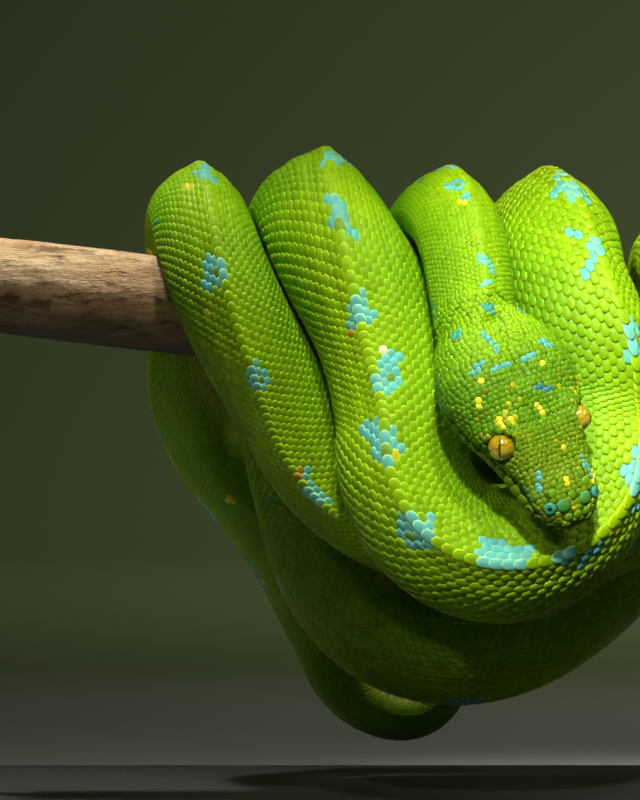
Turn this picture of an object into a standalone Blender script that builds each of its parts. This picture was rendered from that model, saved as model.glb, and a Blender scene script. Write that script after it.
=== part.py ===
"""A green tree python coiled over a short length of branch, life size, on a plain display stand.

Sizes are in millimetres and become metres when a mesh is made. +X runs to the right along the
branch, +Y away from the side that the head hangs on, +Z up. The origin is the middle of the base's
underside. The body's route is worked out first in the branch's own frame, where z = 0 is the
middle of the branch, and is then let settle, so that coils which press on each other only touch.
"""

from dataclasses import dataclass
from math import cos, pi, radians, sin, tan

import bmesh
import bpy
import numpy as np
from mathutils import Vector

MM = 0.001
CUT = 0.3                    # width of the thin cuts between neighbouring pieces

# Stand and branch
BASE_SIZE = (268.0, 166.0, 12.0)
BASE_CORNER = 3.0
ROD_RADIUS = 3.5
ROD_X = 121.5
SADDLE_RADIUS = 8.0
SADDLE_HEIGHT = 9.0
SADDLE_GRIP = 4.5            # how far a saddle reaches up round the branch
FOOT_RADIUS = 8.5
FOOT_HEIGHT = 4.0
BRANCH_RADIUS = 12.4
BRANCH_LENGTH = 262.0
BRANCH_DIP = 6.66            # degrees that it falls towards +X
BRANCH_HEIGHT = 126.0        # of its middle above the floor
BRANCH_WAVE = 0.35
BRANCH_WAVE_STEPS = (17.0, 41.0)
BRANCH_RINGS = 17
BRANCH_SIDES = 18

# Body: radius along the route from the nape, as fractions of the whole length
RADIUS_PLACES = (0, 0.02, 0.06, 0.12, 0.18, 0.26, 0.45, 0.58, 0.70, 0.80, 0.86, 0.90, 0.95, 0.985, 1.0)
RADII = (10.3, 11.5, 12.1, 13.5, 15.8, 16.9, 16.3, 16.0, 14.6, 12.9, 11.8, 11.0, 8.4, 4.0, 1.2)
# Cross-section: reach over the radius, at degrees round from the ridge of the back to the belly
FORM_ANGLES = (0, 18, 45, 70, 95, 120, 150, 180)
FORM_REACH = (1.03, 0.925, 0.885, 0.93, 1.0, 0.985, 0.90, 0.86)
BELLY = FORM_REACH[-1]
TOUCH_GAP = 0.45
RING_STEP = 0.57             # distance between rings over the body's radius
RING_SIDES = 16
NECK_END = 0.10              # places of the cuts, as fractions of the length
TAIL_START = 0.87
TRUNK_LENGTHS = 11

# Settling of the route
ROUTE_STEP = 3.0
ROUNDS = 220
FIRM_ROUNDS = 154            # rounds in which the drawn route still pulls
DRAWN_PULL = 0.02
PUSH = 0.8
LAST_SMOOTHING = 0.12
OWN_REACH = 1.4              # lengths nearer than this many touching distances are one bend
HEAD_JOIN = 14               # points behind the nape that the head's balls leave alone
STIFF_START = 6.0            # points over which the neck comes free of the nape
TIGHTEST_BEND = 0.62         # body radius over bend radius from which a bend eases

# Head, in its own frame: forward from the nape, to the left, up
NAPE = (4.6, -49.0, 2.7)
HEAD_FORWARD = (23.5, -13.0, -47.6)
HEAD_ROLL = 25.0
EYE_RADIUS = 3.4
EYE_PLACE = (31.5, 10.6, 4.0)
HEAD_STATIONS = 24
HEAD_SIDES = 26
BALL_SPREAD = 0.92
BEHIND_NAPE = -6.0           # the neck runs straight this far behind the nape
INSIDE_HEAD = (40.0, 20.0, 0.0, BEHIND_NAPE)
JAW_HINGE = 12.0
JAW_CUT_DEPTH = -30.0
JAW_CUT_SIDE = 30.0
MOUTH_LINE = ((58.0, -2.4), (46.0, -2.8), (33.0, -3.5), (21.0, -4.4), (JAW_HINGE, -5.6))


@dataclass(frozen=True)
class HeadStation:
    """Half width, height of the crown, depth of the throat and squareness at one place."""

    along: float
    half_width: float
    crown: float
    throat: float
    square: float


HEAD_FORM = (
    HeadStation(0.0, 10.4, 9.9, 9.2, 1.00),
    HeadStation(5.0, 14.2, 10.2, 9.8, 0.96),
    HeadStation(12.0, 17.4, 10.8, 10.0, 0.90),
    HeadStation(18.0, 17.9, 10.8, 9.8, 0.86),
    HeadStation(22.0, 17.0, 10.4, 9.4, 0.84),
    HeadStation(26.0, 16.0, 10.0, 8.8, 0.82),
    HeadStation(32.0, 13.2, 9.0, 7.8, 0.80),
    HeadStation(38.0, 11.2, 7.2, 7.2, 0.80),
    HeadStation(43.0, 10.6, 6.0, 6.8, 0.80),
    HeadStation(48.0, 9.4, 5.1, 6.2, 0.82),
    HeadStation(52.0, 6.8, 3.9, 5.0, 0.86),
    HeadStation(54.5, 3.0, 1.7, 3.0, 0.95),
)


@dataclass(frozen=True)
class Pass:
    """One crossing of the branch: x on top, in front and behind, lift, and turns of the back."""

    top: float
    front: float
    back: float
    radius: float
    lift: float
    turn_top: float
    turn_front: float
    turn_back: float


@dataclass(frozen=True)
class Loop:
    """One loop that hangs below the branch, in front (-1) or behind (+1)."""

    side: int
    left: float
    right: float
    level: float
    drop: float
    skew: float
    stand_off: float
    stand_off_low: float
    turn_left: float
    turn_low: float
    turn_right: float


PASS_A = Pass(-61.5, -46.5, -66.0, 12.6, 0.0, 8.0, -4.0, -32.0)
PASS_B = Pass(-34.5, -18.0, -37.0, 15.8, 2.0, 12.0, -15.0, -12.0)
PASS_C = Pass(-7.5, 2.5, -11.5, 12.0, 9.0, 8.0, 4.0, -10.0)
PASS_D = Pass(11.5, 20.5, 20.0, 16.2, 12.5, -4.0, 30.0, 5.0)
PASS_E = Pass(60.0, 55.5, 60.0, 14.6, 0.5, 15.0, 40.0, 25.0)

INNER_FRONT = Loop(-1, -17.0, 43.0, -22.0, 46.8, 3.0, 31.5, 43.0, 14.0, 4.0, 42.0)
OUTER_FRONT = Loop(-1, -37.5, 57.0, -15.5, 38.5, 0.0, 19.0, 9.0, 26.0, 18.0, 40.0)
SMALL_BACK = Loop(1, -12.5, 28.5, -16.0, 40.0, 0.0, 31.0, 33.5, 45.0, 75.0, 45.0)
WIDE_BACK = Loop(1, -37.0, 54.0, -28.0, 56.0, -8.0, 33.0, 36.0, 55.0, 85.0, 60.0)

LOOP_ANGLES = (10, 35, 62, 90, 118, 145, 170)
SMALL_LOOP_ANGLES = (20, 60, 90, 120, 160)
OVER_ANGLES = (90, 45, 0)

# The neck, from the nape up to its pass, and the hind body, from its last pass to the curl
NECK_WAY = (
    (5.6, -43.0, 15.5, 0.25, -0.75, 0.6),
    (5.8, -32.0, 26.0, 0.25, -0.55, 0.8),
    (1.0, -16.5, 32.8, 0.15, -0.3, 0.95),
)
HIND_WAY = (
    (-62.5, 32.0, -13.0, -0.7, 0.65, -0.3),
    (-53.5, 46.0, -34.0, -0.8, 0.3, -0.5),
    (-40.0, 59.0, -50.0, -0.85, 0.25, -0.5),
    (-33.0, 63.0, -66.0, -0.9, 0.25, -0.4),
)
CURL_MIDDLE = (-9.5, -82.5)
CURL_DEPTH = (63.0, 71.0)
CURL_TURNS = 1.35
CURL_RADII = (22.8, 3.8)
CURL_STEP = 27
CURL_TIGHTENING = 0.8
CURL_BACK = (0.9, 0.43)

FLESH = (0.24, 0.50, 0.03, 1.0)
EYE_GOLD = (0.55, 0.40, 0.08, 1.0)
BARK = (0.33, 0.22, 0.14, 1.0)
STAND_BLACK = (0.03, 0.03, 0.035, 1.0)
STEEL = (0.45, 0.45, 0.46, 1.0)


# ---------------------------------------------------------------- the route

def branch_z(x):
    """Height of the branch's axis at x."""
    return -x * tan(radians(BRANCH_DIP))


def over_branch(crossing, side, angles):
    """Places and back directions over the branch, from one side (-1 front, 1 behind) to the top."""
    end_x = crossing.front if side < 0 else crossing.back
    end_turn = crossing.turn_front if side < 0 else crossing.turn_back
    way = []
    for angle in angles:
        t = radians(angle)
        x = crossing.top + (end_x - crossing.top) * sin(t)
        reach = BRANCH_RADIUS + crossing.radius * BELLY + TOUCH_GAP + crossing.lift * cos(t)
        turn = radians(crossing.turn_top + (end_turn - crossing.turn_top) * sin(t))
        way.append((
            x, side * reach * sin(t), branch_z(x) + reach * cos(t),
            sin(turn), side * sin(t) * cos(turn), cos(t) * cos(turn),
        ))
    return way


def hang(loop, angles):
    """Places and back directions round a hanging loop, from left to right."""
    middle, half = (loop.left + loop.right) / 2, (loop.right - loop.left) / 2
    way = []
    for angle in angles:
        t = radians(angle)
        stand_off = loop.stand_off + (loop.stand_off_low - loop.stand_off) * sin(t) ** 2
        end_turn = loop.turn_left if cos(t) > 0 else loop.turn_right
        turn = radians(end_turn * cos(t) ** 2 + loop.turn_low * sin(t) ** 2)
        way.append((
            middle - half * cos(t) + loop.skew * sin(t),
            loop.side * stand_off,
            loop.level - loop.drop * sin(t),
            -cos(t) * sin(turn), loop.side * cos(turn), -sin(t) * sin(turn),
        ))
    return way


def curl():
    """The tail's hanging curl, from its outer left side inwards."""
    count = int(CURL_TURNS * 360 / CURL_STEP)
    way = []
    for i in range(count + 1):
        f = i / count
        t = radians(180 + f * CURL_TURNS * 360)
        reach = CURL_RADII[1] + (CURL_RADII[0] - CURL_RADII[1]) * (1 - f) ** CURL_TIGHTENING
        depth = CURL_DEPTH[0] + (CURL_DEPTH[1] - CURL_DEPTH[0]) * f
        way.append((
            CURL_MIDDLE[0] + reach * cos(t), depth, CURL_MIDDLE[1] + reach * sin(t),
            CURL_BACK[0] * cos(t), CURL_BACK[1], CURL_BACK[0] * sin(t),
        ))
    return way


def head_axes():
    """The head's forward, left and up directions."""
    forward = np.array(HEAD_FORWARD) / np.linalg.norm(HEAD_FORWARD)
    facing = np.array([0.0, -1.0, 0.0])
    up = facing - (facing @ forward) * forward
    up /= np.linalg.norm(up)
    left = np.cross(up, forward)
    roll = radians(HEAD_ROLL)
    up = up * cos(roll) + left * sin(roll)
    return forward, np.cross(up, forward), up


def drawn_route():
    """The whole way from inside the head to the tail's tip: x, y, z and the back's direction."""
    forward, _, up = head_axes()
    way = [tuple(np.array(NAPE) + forward * d) + tuple(up) for d in INSIDE_HEAD]
    way += NECK_WAY
    way += over_branch(PASS_C, 1, OVER_ANGLES[::-1])
    way += hang(SMALL_BACK, SMALL_LOOP_ANGLES)
    way += over_branch(PASS_D, 1, OVER_ANGLES)
    way += over_branch(PASS_D, -1, OVER_ANGLES[1::-1])
    way += hang(INNER_FRONT, LOOP_ANGLES)[::-1]
    way += over_branch(PASS_B, -1, OVER_ANGLES)
    way += over_branch(PASS_B, 1, OVER_ANGLES[1::-1])
    way += hang(WIDE_BACK, LOOP_ANGLES)
    way += over_branch(PASS_E, 1, OVER_ANGLES)
    way += over_branch(PASS_E, -1, OVER_ANGLES[1::-1])
    way += hang(OUTER_FRONT, LOOP_ANGLES)[::-1]
    way += over_branch(PASS_A, -1, OVER_ANGLES)
    way += over_branch(PASS_A, 1, OVER_ANGLES[1::-1])
    way += HIND_WAY
    way += curl()
    return np.array(way)


def through(points):
    """A smooth curve through the points (centripetal Catmull-Rom), about 1 mm between samples."""
    points = np.vstack([2 * points[0] - points[1], points, 2 * points[-1] - points[-2]])
    curve = []
    for p0, p1, p2, p3 in zip(points, points[1:], points[2:], points[3:]):
        gaps = [max(np.linalg.norm((b - a)[:3]), 1e-6) for a, b in ((p0, p1), (p1, p2), (p2, p3))]
        t1 = gaps[0] ** 0.5
        t2 = t1 + gaps[1] ** 0.5
        t3 = t2 + gaps[2] ** 0.5
        for t in np.linspace(t1, t2, max(2, int(gaps[1])), endpoint=False):
            a1 = ((t1 - t) * p0 + t * p1) / t1
            a2 = ((t2 - t) * p1 + (t - t1) * p2) / (t2 - t1)
            a3 = ((t3 - t) * p2 + (t - t2) * p3) / (t3 - t2)
            b1 = ((t2 - t) * a1 + t * a2) / t2
            b2 = ((t3 - t) * a2 + (t - t1) * a3) / (t3 - t1)
            curve.append(((t2 - t) * b1 + (t - t1) * b2) / (t2 - t1))
    curve.append(points[-2])
    return np.array(curve)


def run(points):
    """Distance along the points from the first one."""
    return np.r_[0, np.cumsum(np.linalg.norm(np.diff(points[:, :3], axis=0), axis=1))]


def evenly(points, step):
    """The same way with points about a step apart."""
    far = run(points)
    places = np.linspace(0, far[-1], int(round(far[-1] / step)) + 1)
    return np.stack([np.interp(places, far, column) for column in points.T], 1)


def smooth(values, times, weight=0.5):
    """Each value moved towards its neighbours' mean; the two ends stay."""
    values = values.copy()
    for _ in range(times):
        values[1:-1] += weight * (0.5 * (values[:-2] + values[2:]) - values[1:-1])
    return values


def body_radius(fraction):
    """The body's radius at a fraction of the length from the nape."""
    return np.interp(fraction, RADIUS_PLACES, RADII)


def head_form(along):
    """Half width, crown, throat and squareness of the head at a distance from the nape."""
    places = [s.along for s in HEAD_FORM]
    rows = [(s.half_width, s.crown, s.throat, s.square) for s in HEAD_FORM]
    return [float(np.interp(along, places, column)) for column in zip(*rows)]


def head_balls():
    """Balls that fill the head, which the coils under it keep clear of."""
    forward, left, up = head_axes()
    balls = []
    for station in HEAD_FORM[2:-1]:
        ball = (station.crown + station.throat) / 2
        rise = (station.crown - station.throat) / 2
        spread = station.half_width - BALL_SPREAD * ball
        for side in np.linspace(-spread, spread, 3):
            balls.append((np.array(NAPE) + forward * station.along + left * side + up * rise, ball))
    return balls


def settle(points):
    """Push coils that press on each other, the branch or the head apart, and ease tight bends."""
    place, back = points[:, :3].copy(), points[:, 3:]
    back = back / np.linalg.norm(back, axis=1)[:, None]
    drawn = place.copy()
    far = run(place)
    radius = body_radius(far / far[-1])
    need = radius[:, None] + radius[None, :] + TOUCH_GAP
    apart = np.abs(far[:, None] - far[None, :]) > OWN_REACH * need
    axis = np.array([cos(radians(BRANCH_DIP)), 0, -sin(radians(BRANCH_DIP))])
    free = np.clip(np.arange(len(place)) / STIFF_START, 0, 1)[:, None]
    balls = head_balls()
    for turn in range(ROUNDS):
        between = place[:, None, :] - place[None, :, :]
        distance = np.sqrt((between ** 2).sum(2)) + 1e-9
        lap = np.where(apart & (distance < need), need - distance, 0.0)
        share = lap / (lap.sum(1, keepdims=True) + 1e-9)
        move = smooth((between / distance[:, :, None] * (lap * share)[:, :, None]).sum(1) * 0.5, 3)
        from_axis = place - (place @ axis)[:, None] * axis
        reach = np.linalg.norm(from_axis, axis=1)
        outward = from_axis / reach[:, None]
        lean = np.degrees(np.arccos(np.clip((outward * back).sum(1), -1, 1)))
        depth = np.interp(180 - lean, FORM_ANGLES, FORM_REACH) * radius
        move += outward * np.clip(BRANCH_RADIUS + depth + TOUCH_GAP - reach, 0, None)[:, None]
        for middle, ball in balls:
            away = place - middle
            reach = np.linalg.norm(away, axis=1)
            sunk = np.clip(ball + radius + TOUCH_GAP - reach, 0, None)
            sunk[:HEAD_JOIN] = 0
            move += away / reach[:, None] * sunk[:, None]
        place = place + PUSH * move * free
        bow = 0.5 * (place[:-2] + place[2:]) - place[1:-1]
        link = np.linalg.norm(np.diff(place, axis=0), axis=1)
        bend = np.zeros(len(place))
        bend[1:-1] = 2 * np.linalg.norm(bow, axis=1) / (link[:-1] * link[1:]) * radius[1:-1]
        ease = smooth(np.clip((bend - TIGHTEST_BEND) / 0.2, 0, 1), 3)[:, None]
        place = place + (smooth(place, 3) - place) * ease * free
        if turn < FIRM_ROUNDS:
            place = place + DRAWN_PULL * (drawn - place) * free
            place = place + (smooth(place, 2) - place) * free
        else:
            place = place + (smooth(place, 1, LAST_SMOOTHING) - place) * free
    return np.hstack([place, back]), radius


def body_route():
    """Settled places, tangents, back directions, radii and distances, from nape to tail tip."""
    points = smooth(evenly(through(drawn_route()), ROUTE_STEP), 5)
    first = int(np.argmin(np.linalg.norm(points[:, :3] - NAPE, axis=1)))
    points = points[first:]
    points[0, :3] = NAPE
    points, radius = settle(points)
    place = points[:, :3]
    tangent = np.gradient(place, axis=0)
    tangent[0] = -np.array(HEAD_FORWARD)
    tangent /= np.linalg.norm(tangent, axis=1)[:, None]
    back = points[:, 3:]
    for _ in range(2):
        back = smooth(back, 6)
        back = back - (back * tangent).sum(1)[:, None] * tangent
        back = back / np.linalg.norm(back, axis=1)[:, None]
    place = place + np.array([0, 0, BRANCH_HEIGHT])
    return place, tangent, back, radius, run(place)


# ---------------------------------------------------------------- meshes

def fresh_scene():
    """Empty the file, and make the collections for the parts and for the cutters."""
    for item in list(bpy.data.objects):
        bpy.data.objects.remove(item, do_unlink=True)
    parts = bpy.data.collections.new("tree_python_on_branch")
    cutters = bpy.data.collections.new("cutters")
    for collection in (parts, cutters):
        bpy.context.scene.collection.children.link(collection)
    return parts, cutters


def finish(name, colour, roughness, metallic=0.0):
    """A plain Principled material."""
    material = bpy.data.materials.new(name)
    material.use_nodes = True
    shader = material.node_tree.nodes["Principled BSDF"]
    shader.inputs["Base Color"].default_value = colour
    shader.inputs["Roughness"].default_value = roughness
    shader.inputs["Metallic"].default_value = metallic
    material.diffuse_color = colour
    return material


def add(name, mesh, collection, material=None, sharp=None):
    """Link a mesh as a named object, shaded smooth."""
    item = bpy.data.objects.new(name, mesh)
    collection.objects.link(item)
    if material:
        mesh.materials.append(material)
    mesh.shade_smooth()
    if sharp:
        mesh.set_sharp_from_angle(angle=radians(sharp))
    return item


def mesh_of(bm, name):
    """Write a bmesh out as a mesh with its faces pointing outwards."""
    bmesh.ops.recalc_face_normals(bm, faces=bm.faces)
    mesh = bpy.data.meshes.new(name)
    bm.to_mesh(mesh)
    bm.free()
    return mesh


def loft(rings, name):
    """A closed solid through rings of equally many points, with flat ends."""
    bm = bmesh.new()
    rows = [[bm.verts.new(Vector(p) * MM) for p in ring] for ring in rings]
    count = len(rows[0])
    for low, high in zip(rows, rows[1:]):
        for i in range(count):
            j = (i + 1) % count
            bm.faces.new((low[i], low[j], high[j], high[i]))
    bm.faces.new(rows[0][::-1])
    bm.faces.new(rows[-1])
    return mesh_of(bm, name)


def prism(outline, half_width, name, origin, axes):
    """A flat outline in the head's forward-up plane, thickened to both sides."""
    forward, left, up = axes
    rings = []
    for side in (-half_width, half_width):
        rings.append([origin + forward * a + left * side + up * z for a, z in outline])
    return loft(rings, name)


def cutter(name, mesh, collection):
    """An object that only cuts others."""
    item = add(name, mesh, collection)
    item.hide_render = True
    item.display_type = "WIRE"
    return item


def boolean(item, tool, operation):
    """Cut or join with an exact Boolean modifier."""
    modifier = item.modifiers.new(operation.lower(), "BOOLEAN")
    modifier.operation = operation
    modifier.solver = "EXACT"
    modifier.object = tool


def ball_mesh(radius, place, name, segments=14, rings=9):
    """A sphere as a mesh in place."""
    bm = bmesh.new()
    bmesh.ops.create_uvsphere(bm, u_segments=segments, v_segments=rings, radius=radius * MM)
    bmesh.ops.translate(bm, verts=bm.verts, vec=Vector(place) * MM)
    return mesh_of(bm, name)


def drum_mesh(radius, low, high, name, segments=24):
    """An upright cylinder between two points."""
    bm = bmesh.new()
    depth = (high[2] - low[2]) * MM
    bmesh.ops.create_cone(
        bm, cap_ends=True, segments=segments, radius1=radius * MM, radius2=radius * MM, depth=depth
    )
    middle = Vector((low[0], low[1], (low[2] + high[2]) / 2)) * MM
    bmesh.ops.translate(bm, verts=bm.verts, vec=middle)
    return mesh_of(bm, name)


# ---------------------------------------------------------------- the animal

class Body:
    """The settled body, read at any distance from the nape."""

    def __init__(self):
        self.place, self.tangent, self.back, self.radius, self.far = body_route()
        self.length = float(self.far[-1])

    def at(self, distance):
        """Place, tangent, back direction and radius at a distance."""
        read = [
            np.array([np.interp(distance, self.far, column) for column in values.T])
            for values in (self.place, self.tangent, self.back)
        ]
        place, tangent, back = read
        tangent /= np.linalg.norm(tangent)
        back -= (back @ tangent) * tangent
        back /= np.linalg.norm(back)
        return place, tangent, back, float(np.interp(distance, self.far, self.radius))

    def ring(self, distance):
        """One cross-section, from the ridge of the back round to the belly and up again."""
        place, tangent, back, radius = self.at(distance)
        side = np.cross(tangent, back)
        ring = []
        for i in range(RING_SIDES):
            angle = 2 * pi * i / RING_SIDES
            turned = 360 / RING_SIDES * min(i, RING_SIDES - i)
            reach = radius * float(np.interp(turned, FORM_ANGLES, FORM_REACH))
            ring.append(place + reach * (cos(angle) * back + sin(angle) * side))
        return ring

    def length_mesh(self, start, end, name):
        """The solid between two cuts."""
        low, high = start + CUT / 2, end - CUT / 2
        distances = [low]
        while distances[-1] < high:
            distances.append(distances[-1] + RING_STEP * self.at(distances[-1])[3])
        stretch = (high - low) / (distances[-1] - low)
        return loft([self.ring(low + (d - low) * stretch) for d in distances], name)


def build_body(parts, flesh):
    """Neck, the trunk's lengths and the tail."""
    body = Body()
    cuts = [0.0] + list(np.linspace(NECK_END, TAIL_START, TRUNK_LENGTHS + 1) * body.length)
    names = ["neck"] + [f"trunk_{i + 1:02d}" for i in range(TRUNK_LENGTHS)]
    for name, start, end in zip(names, cuts, cuts[1:]):
        add(name, body.length_mesh(start, end, name), parts, flesh, 60)
    add("tail", body.length_mesh(cuts[-1], body.length, "tail"), parts, flesh, 60)


def head_ring(along, origin, axes):
    """One cross-section of the head, round from the crown."""
    forward, left, up = axes
    half_width, crown, throat, square = head_form(along)
    ring = []
    for i in range(HEAD_SIDES):
        angle = 2 * pi * i / HEAD_SIDES
        wide = np.sign(sin(angle)) * abs(sin(angle)) ** square * half_width
        high = np.sign(cos(angle)) * abs(cos(angle)) ** square
        high *= crown if high > 0 else throat
        ring.append(origin + forward * along + left * wide + up * high)
    return ring


def build_head(parts, cutters, flesh, gold):
    """Head with eye sockets, the lower jaw below the mouth line, and the eyes."""
    axes = head_axes()
    forward, left, up = axes
    origin = np.array(NAPE) + np.array([0, 0, BRANCH_HEIGHT])
    length = HEAD_FORM[-1].along
    places = CUT / 2 + (length - CUT / 2) * np.sin(np.linspace(0, pi / 2, HEAD_STATIONS)) ** 0.9
    rings = [head_ring(a, origin, axes) for a in places]
    head = add("head", loft(rings, "head"), parts, flesh, 50)
    jaw = add("lower_jaw", loft(rings, "lower_jaw"), parts, flesh, 50)

    upper_cut = [*MOUTH_LINE, (JAW_HINGE, JAW_CUT_DEPTH), (MOUTH_LINE[0][0], JAW_CUT_DEPTH)]
    lower_cut = [(a + (CUT if a == JAW_HINGE else 0), z - CUT) for a, z in upper_cut]
    mouth = prism(upper_cut, JAW_CUT_SIDE, "mouth_cut", origin, axes)
    boolean(head, cutter("mouth_cut", mouth, cutters), "DIFFERENCE")
    under = prism(lower_cut, JAW_CUT_SIDE, "jaw_shape", origin, axes)
    boolean(jaw, cutter("jaw_shape", under, cutters), "INTERSECT")
    for name, side in (("eye_left", 1), ("eye_right", -1)):
        place = origin + forward * EYE_PLACE[0] + left * side * EYE_PLACE[1] + up * EYE_PLACE[2]
        add(name, ball_mesh(EYE_RADIUS, place, name), parts, gold)
        socket = ball_mesh(EYE_RADIUS + CUT, place, name + "_socket")
        boolean(head, cutter(name + "_socket", socket, cutters), "DIFFERENCE")


# ---------------------------------------------------------------- branch and stand

def branch_ring(x, radius, sides):
    """A ring round the branch's axis, square to it."""
    dip = radians(BRANCH_DIP)
    middle = np.array([x, 0, branch_z(x) + BRANCH_HEIGHT])
    upward = np.array([sin(dip), 0, cos(dip)])
    across = np.array([0, 1, 0])
    return [
        middle + radius * (cos(a) * upward + sin(a) * across)
        for a in (2 * pi * i / sides for i in range(sides))
    ]


def build_branch(parts, bark):
    """A short cut length of branch, a little thinner in places."""
    rings = []
    short, long = BRANCH_WAVE_STEPS
    for x in np.linspace(-BRANCH_LENGTH / 2, BRANCH_LENGTH / 2, BRANCH_RINGS):
        slim = BRANCH_WAVE * (1 + sin(x / short) * cos(x / long))
        rings.append(branch_ring(x, BRANCH_RADIUS - slim, BRANCH_SIDES))
    add("perch", loft(rings, "perch"), parts, bark, 40)


def build_stand(parts, cutters, black, steel):
    """A flat base, and two short rods with feet and saddles that carry the branch."""
    bpy.ops.mesh.primitive_cube_add(size=1, location=(0, 0, BASE_SIZE[2] / 2 * MM))
    base = bpy.context.object
    base.name = "stand_base"
    base.data.transform([[BASE_SIZE[0] * MM, 0, 0, 0], [0, BASE_SIZE[1] * MM, 0, 0],
                         [0, 0, BASE_SIZE[2] * MM, 0], [0, 0, 0, 1]])
    base.data.materials.append(black)
    bevel = base.modifiers.new("edges", "BEVEL")
    bevel.width = BASE_CORNER * MM
    bevel.segments = 3
    for collection in base.users_collection:
        collection.objects.unlink(base)
    parts.objects.link(base)
    clearance = cutter(
        "branch_clearance",
        loft([branch_ring(x, BRANCH_RADIUS + CUT, 36) for x in (-BRANCH_LENGTH, BRANCH_LENGTH)],
             "branch_clearance"),
        cutters,
    )
    for name, x in (("left", -ROD_X), ("right", ROD_X)):
        under = BRANCH_HEIGHT + branch_z(x) - BRANCH_RADIUS
        floor = BASE_SIZE[2] + CUT
        seat = under - SADDLE_HEIGHT
        foot = drum_mesh(FOOT_RADIUS, (x, 0, floor), (x, 0, floor + FOOT_HEIGHT), "foot")
        add(f"stand_foot_{name}", foot, parts, steel, 40)
        rod = drum_mesh(ROD_RADIUS, (x, 0, floor + FOOT_HEIGHT + CUT), (x, 0, seat - CUT), "rod", 20)
        add(f"stand_rod_{name}", rod, parts, steel, 40)
        saddle = drum_mesh(SADDLE_RADIUS, (x, 0, seat), (x, 0, under + SADDLE_GRIP), "saddle", 20)
        boolean(add(f"stand_saddle_{name}", saddle, parts, steel, 40), clearance, "DIFFERENCE")


def main():
    """Build the whole model."""
    parts, cutters = fresh_scene()
    flesh = finish("scaled_skin", FLESH, 0.42)
    gold = finish("eye", EYE_GOLD, 0.08)
    bark = finish("bark", BARK, 0.8)
    black = finish("stand_black", STAND_BLACK, 0.45)
    steel = finish("stand_steel", STEEL, 0.3, 1.0)
    build_body(parts, flesh)
    build_head(parts, cutters, flesh, gold)
    build_branch(parts, bark)
    build_stand(parts, cutters, black, steel)


main()
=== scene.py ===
"""A green tree python coiled over a cut length of branch, dressed with skin, scales and eyes.

Lengths are in millimetres until a mesh is written. The body is read in two coordinates: the distance
tailwards along it from the nape (below zero on the head), and the turn round it from the ridge of the
back, positive to the animal's left.
"""

import logging
from dataclasses import dataclass, replace
from enum import Enum
from math import cos, pi, radians, sin, tan
from typing import Callable, Optional, Sequence

import bmesh
import bpy
import numpy as np
from mathutils import Matrix, Vector, noise

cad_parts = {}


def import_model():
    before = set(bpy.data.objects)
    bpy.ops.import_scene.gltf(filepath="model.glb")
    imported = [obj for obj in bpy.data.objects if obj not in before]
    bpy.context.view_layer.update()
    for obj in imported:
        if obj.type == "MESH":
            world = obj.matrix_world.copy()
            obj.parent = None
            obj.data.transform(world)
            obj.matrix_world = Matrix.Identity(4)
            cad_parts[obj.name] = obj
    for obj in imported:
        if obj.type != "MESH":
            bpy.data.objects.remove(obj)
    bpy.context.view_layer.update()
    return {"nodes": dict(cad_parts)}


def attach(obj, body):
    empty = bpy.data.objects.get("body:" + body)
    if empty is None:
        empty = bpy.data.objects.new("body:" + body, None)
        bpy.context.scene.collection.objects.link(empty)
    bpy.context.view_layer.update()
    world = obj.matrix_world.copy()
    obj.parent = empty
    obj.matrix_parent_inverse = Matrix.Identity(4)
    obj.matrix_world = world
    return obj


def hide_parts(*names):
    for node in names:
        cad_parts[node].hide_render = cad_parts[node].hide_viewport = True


LOG = logging.getLogger("tree_python")
MM = 0.001
Array = np.ndarray

FLESH_NODES = ["head", "lower_jaw", "neck", *[f"trunk_{i:02d}" for i in range(1, 12)], "tail"]


class Slot(str, Enum):
    """The record's material slots."""

    SKIN = "scaled_skin"
    EYE = "eye"
    BARK = "bark"
    LACQUER = "stand_black"
    STEEL = "stand_steel"


def tone(red: int, green: int, blue: int) -> Array:
    """A display colour, 0 to 255 each, as linear light."""
    value = np.array([red, green, blue]) / 255.0
    return np.where(value <= 0.04045, value / 12.92, ((value + 0.055) / 1.055) ** 2.4)


class Paint(Enum):
    """The colours that scales come in."""

    CROWN = (132, 183, 2)
    FLANK = (103, 165, 2)
    FACE = (72, 118, 4)
    BELLY = (186, 194, 60)
    RIM = (206, 230, 28)
    SNOUT = (98, 120, 5)
    TURQUOISE = (106, 206, 186)
    TEAL = (62, 158, 92)
    SPOT = (66, 168, 136)
    DEEP_BLUE = (46, 124, 122)
    LEMON = (226, 220, 20)
    CREAM = (250, 226, 176)
    AMBER = (206, 150, 14)
    OLIVE = (70, 92, 10)
    SEAM = (34, 62, 4)
    # Painted shade: the near-black painted into the middles of the nostrils and heat pits.
    HOLLOW_SHADE = (14, 14, 6)

    @property
    def light(self) -> Array:
        """The colour as linear light."""
        return tone(*self.value)


# ---------------------------------------------------------------- the way the body lies

BRANCH_RADIUS = 12.4
BRANCH_LENGTH = 262.0
BRANCH_DIP = 6.66
BRANCH_HEIGHT = 126.0

RADIUS_PLACES = (0, 0.02, 0.06, 0.12, 0.18, 0.26, 0.45, 0.58, 0.70, 0.80, 0.86, 0.90, 0.95, 0.985, 1.0)
RADII = (10.3, 11.5, 12.1, 13.5, 15.8, 16.9, 16.3, 16.0, 14.6, 12.9, 11.8, 11.0, 8.4, 4.0, 1.2)
FORM_ANGLES = (0, 18, 45, 70, 95, 120, 150, 180)
FORM_REACH = (1.03, 0.925, 0.885, 0.93, 1.0, 0.985, 0.90, 0.86)
TOUCH_GAP = 0.45

ROUTE_STEP = 3.0
ROUNDS = 220
FIRM_ROUNDS = 154
DRAWN_PULL = 0.02
PUSH = 0.8
LAST_SMOOTHING = 0.12
OWN_REACH = 1.4
HEAD_JOIN = 14
STIFF_START = 6.0
TIGHTEST_BEND = 0.62
BALL_SPREAD = 0.92

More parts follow.
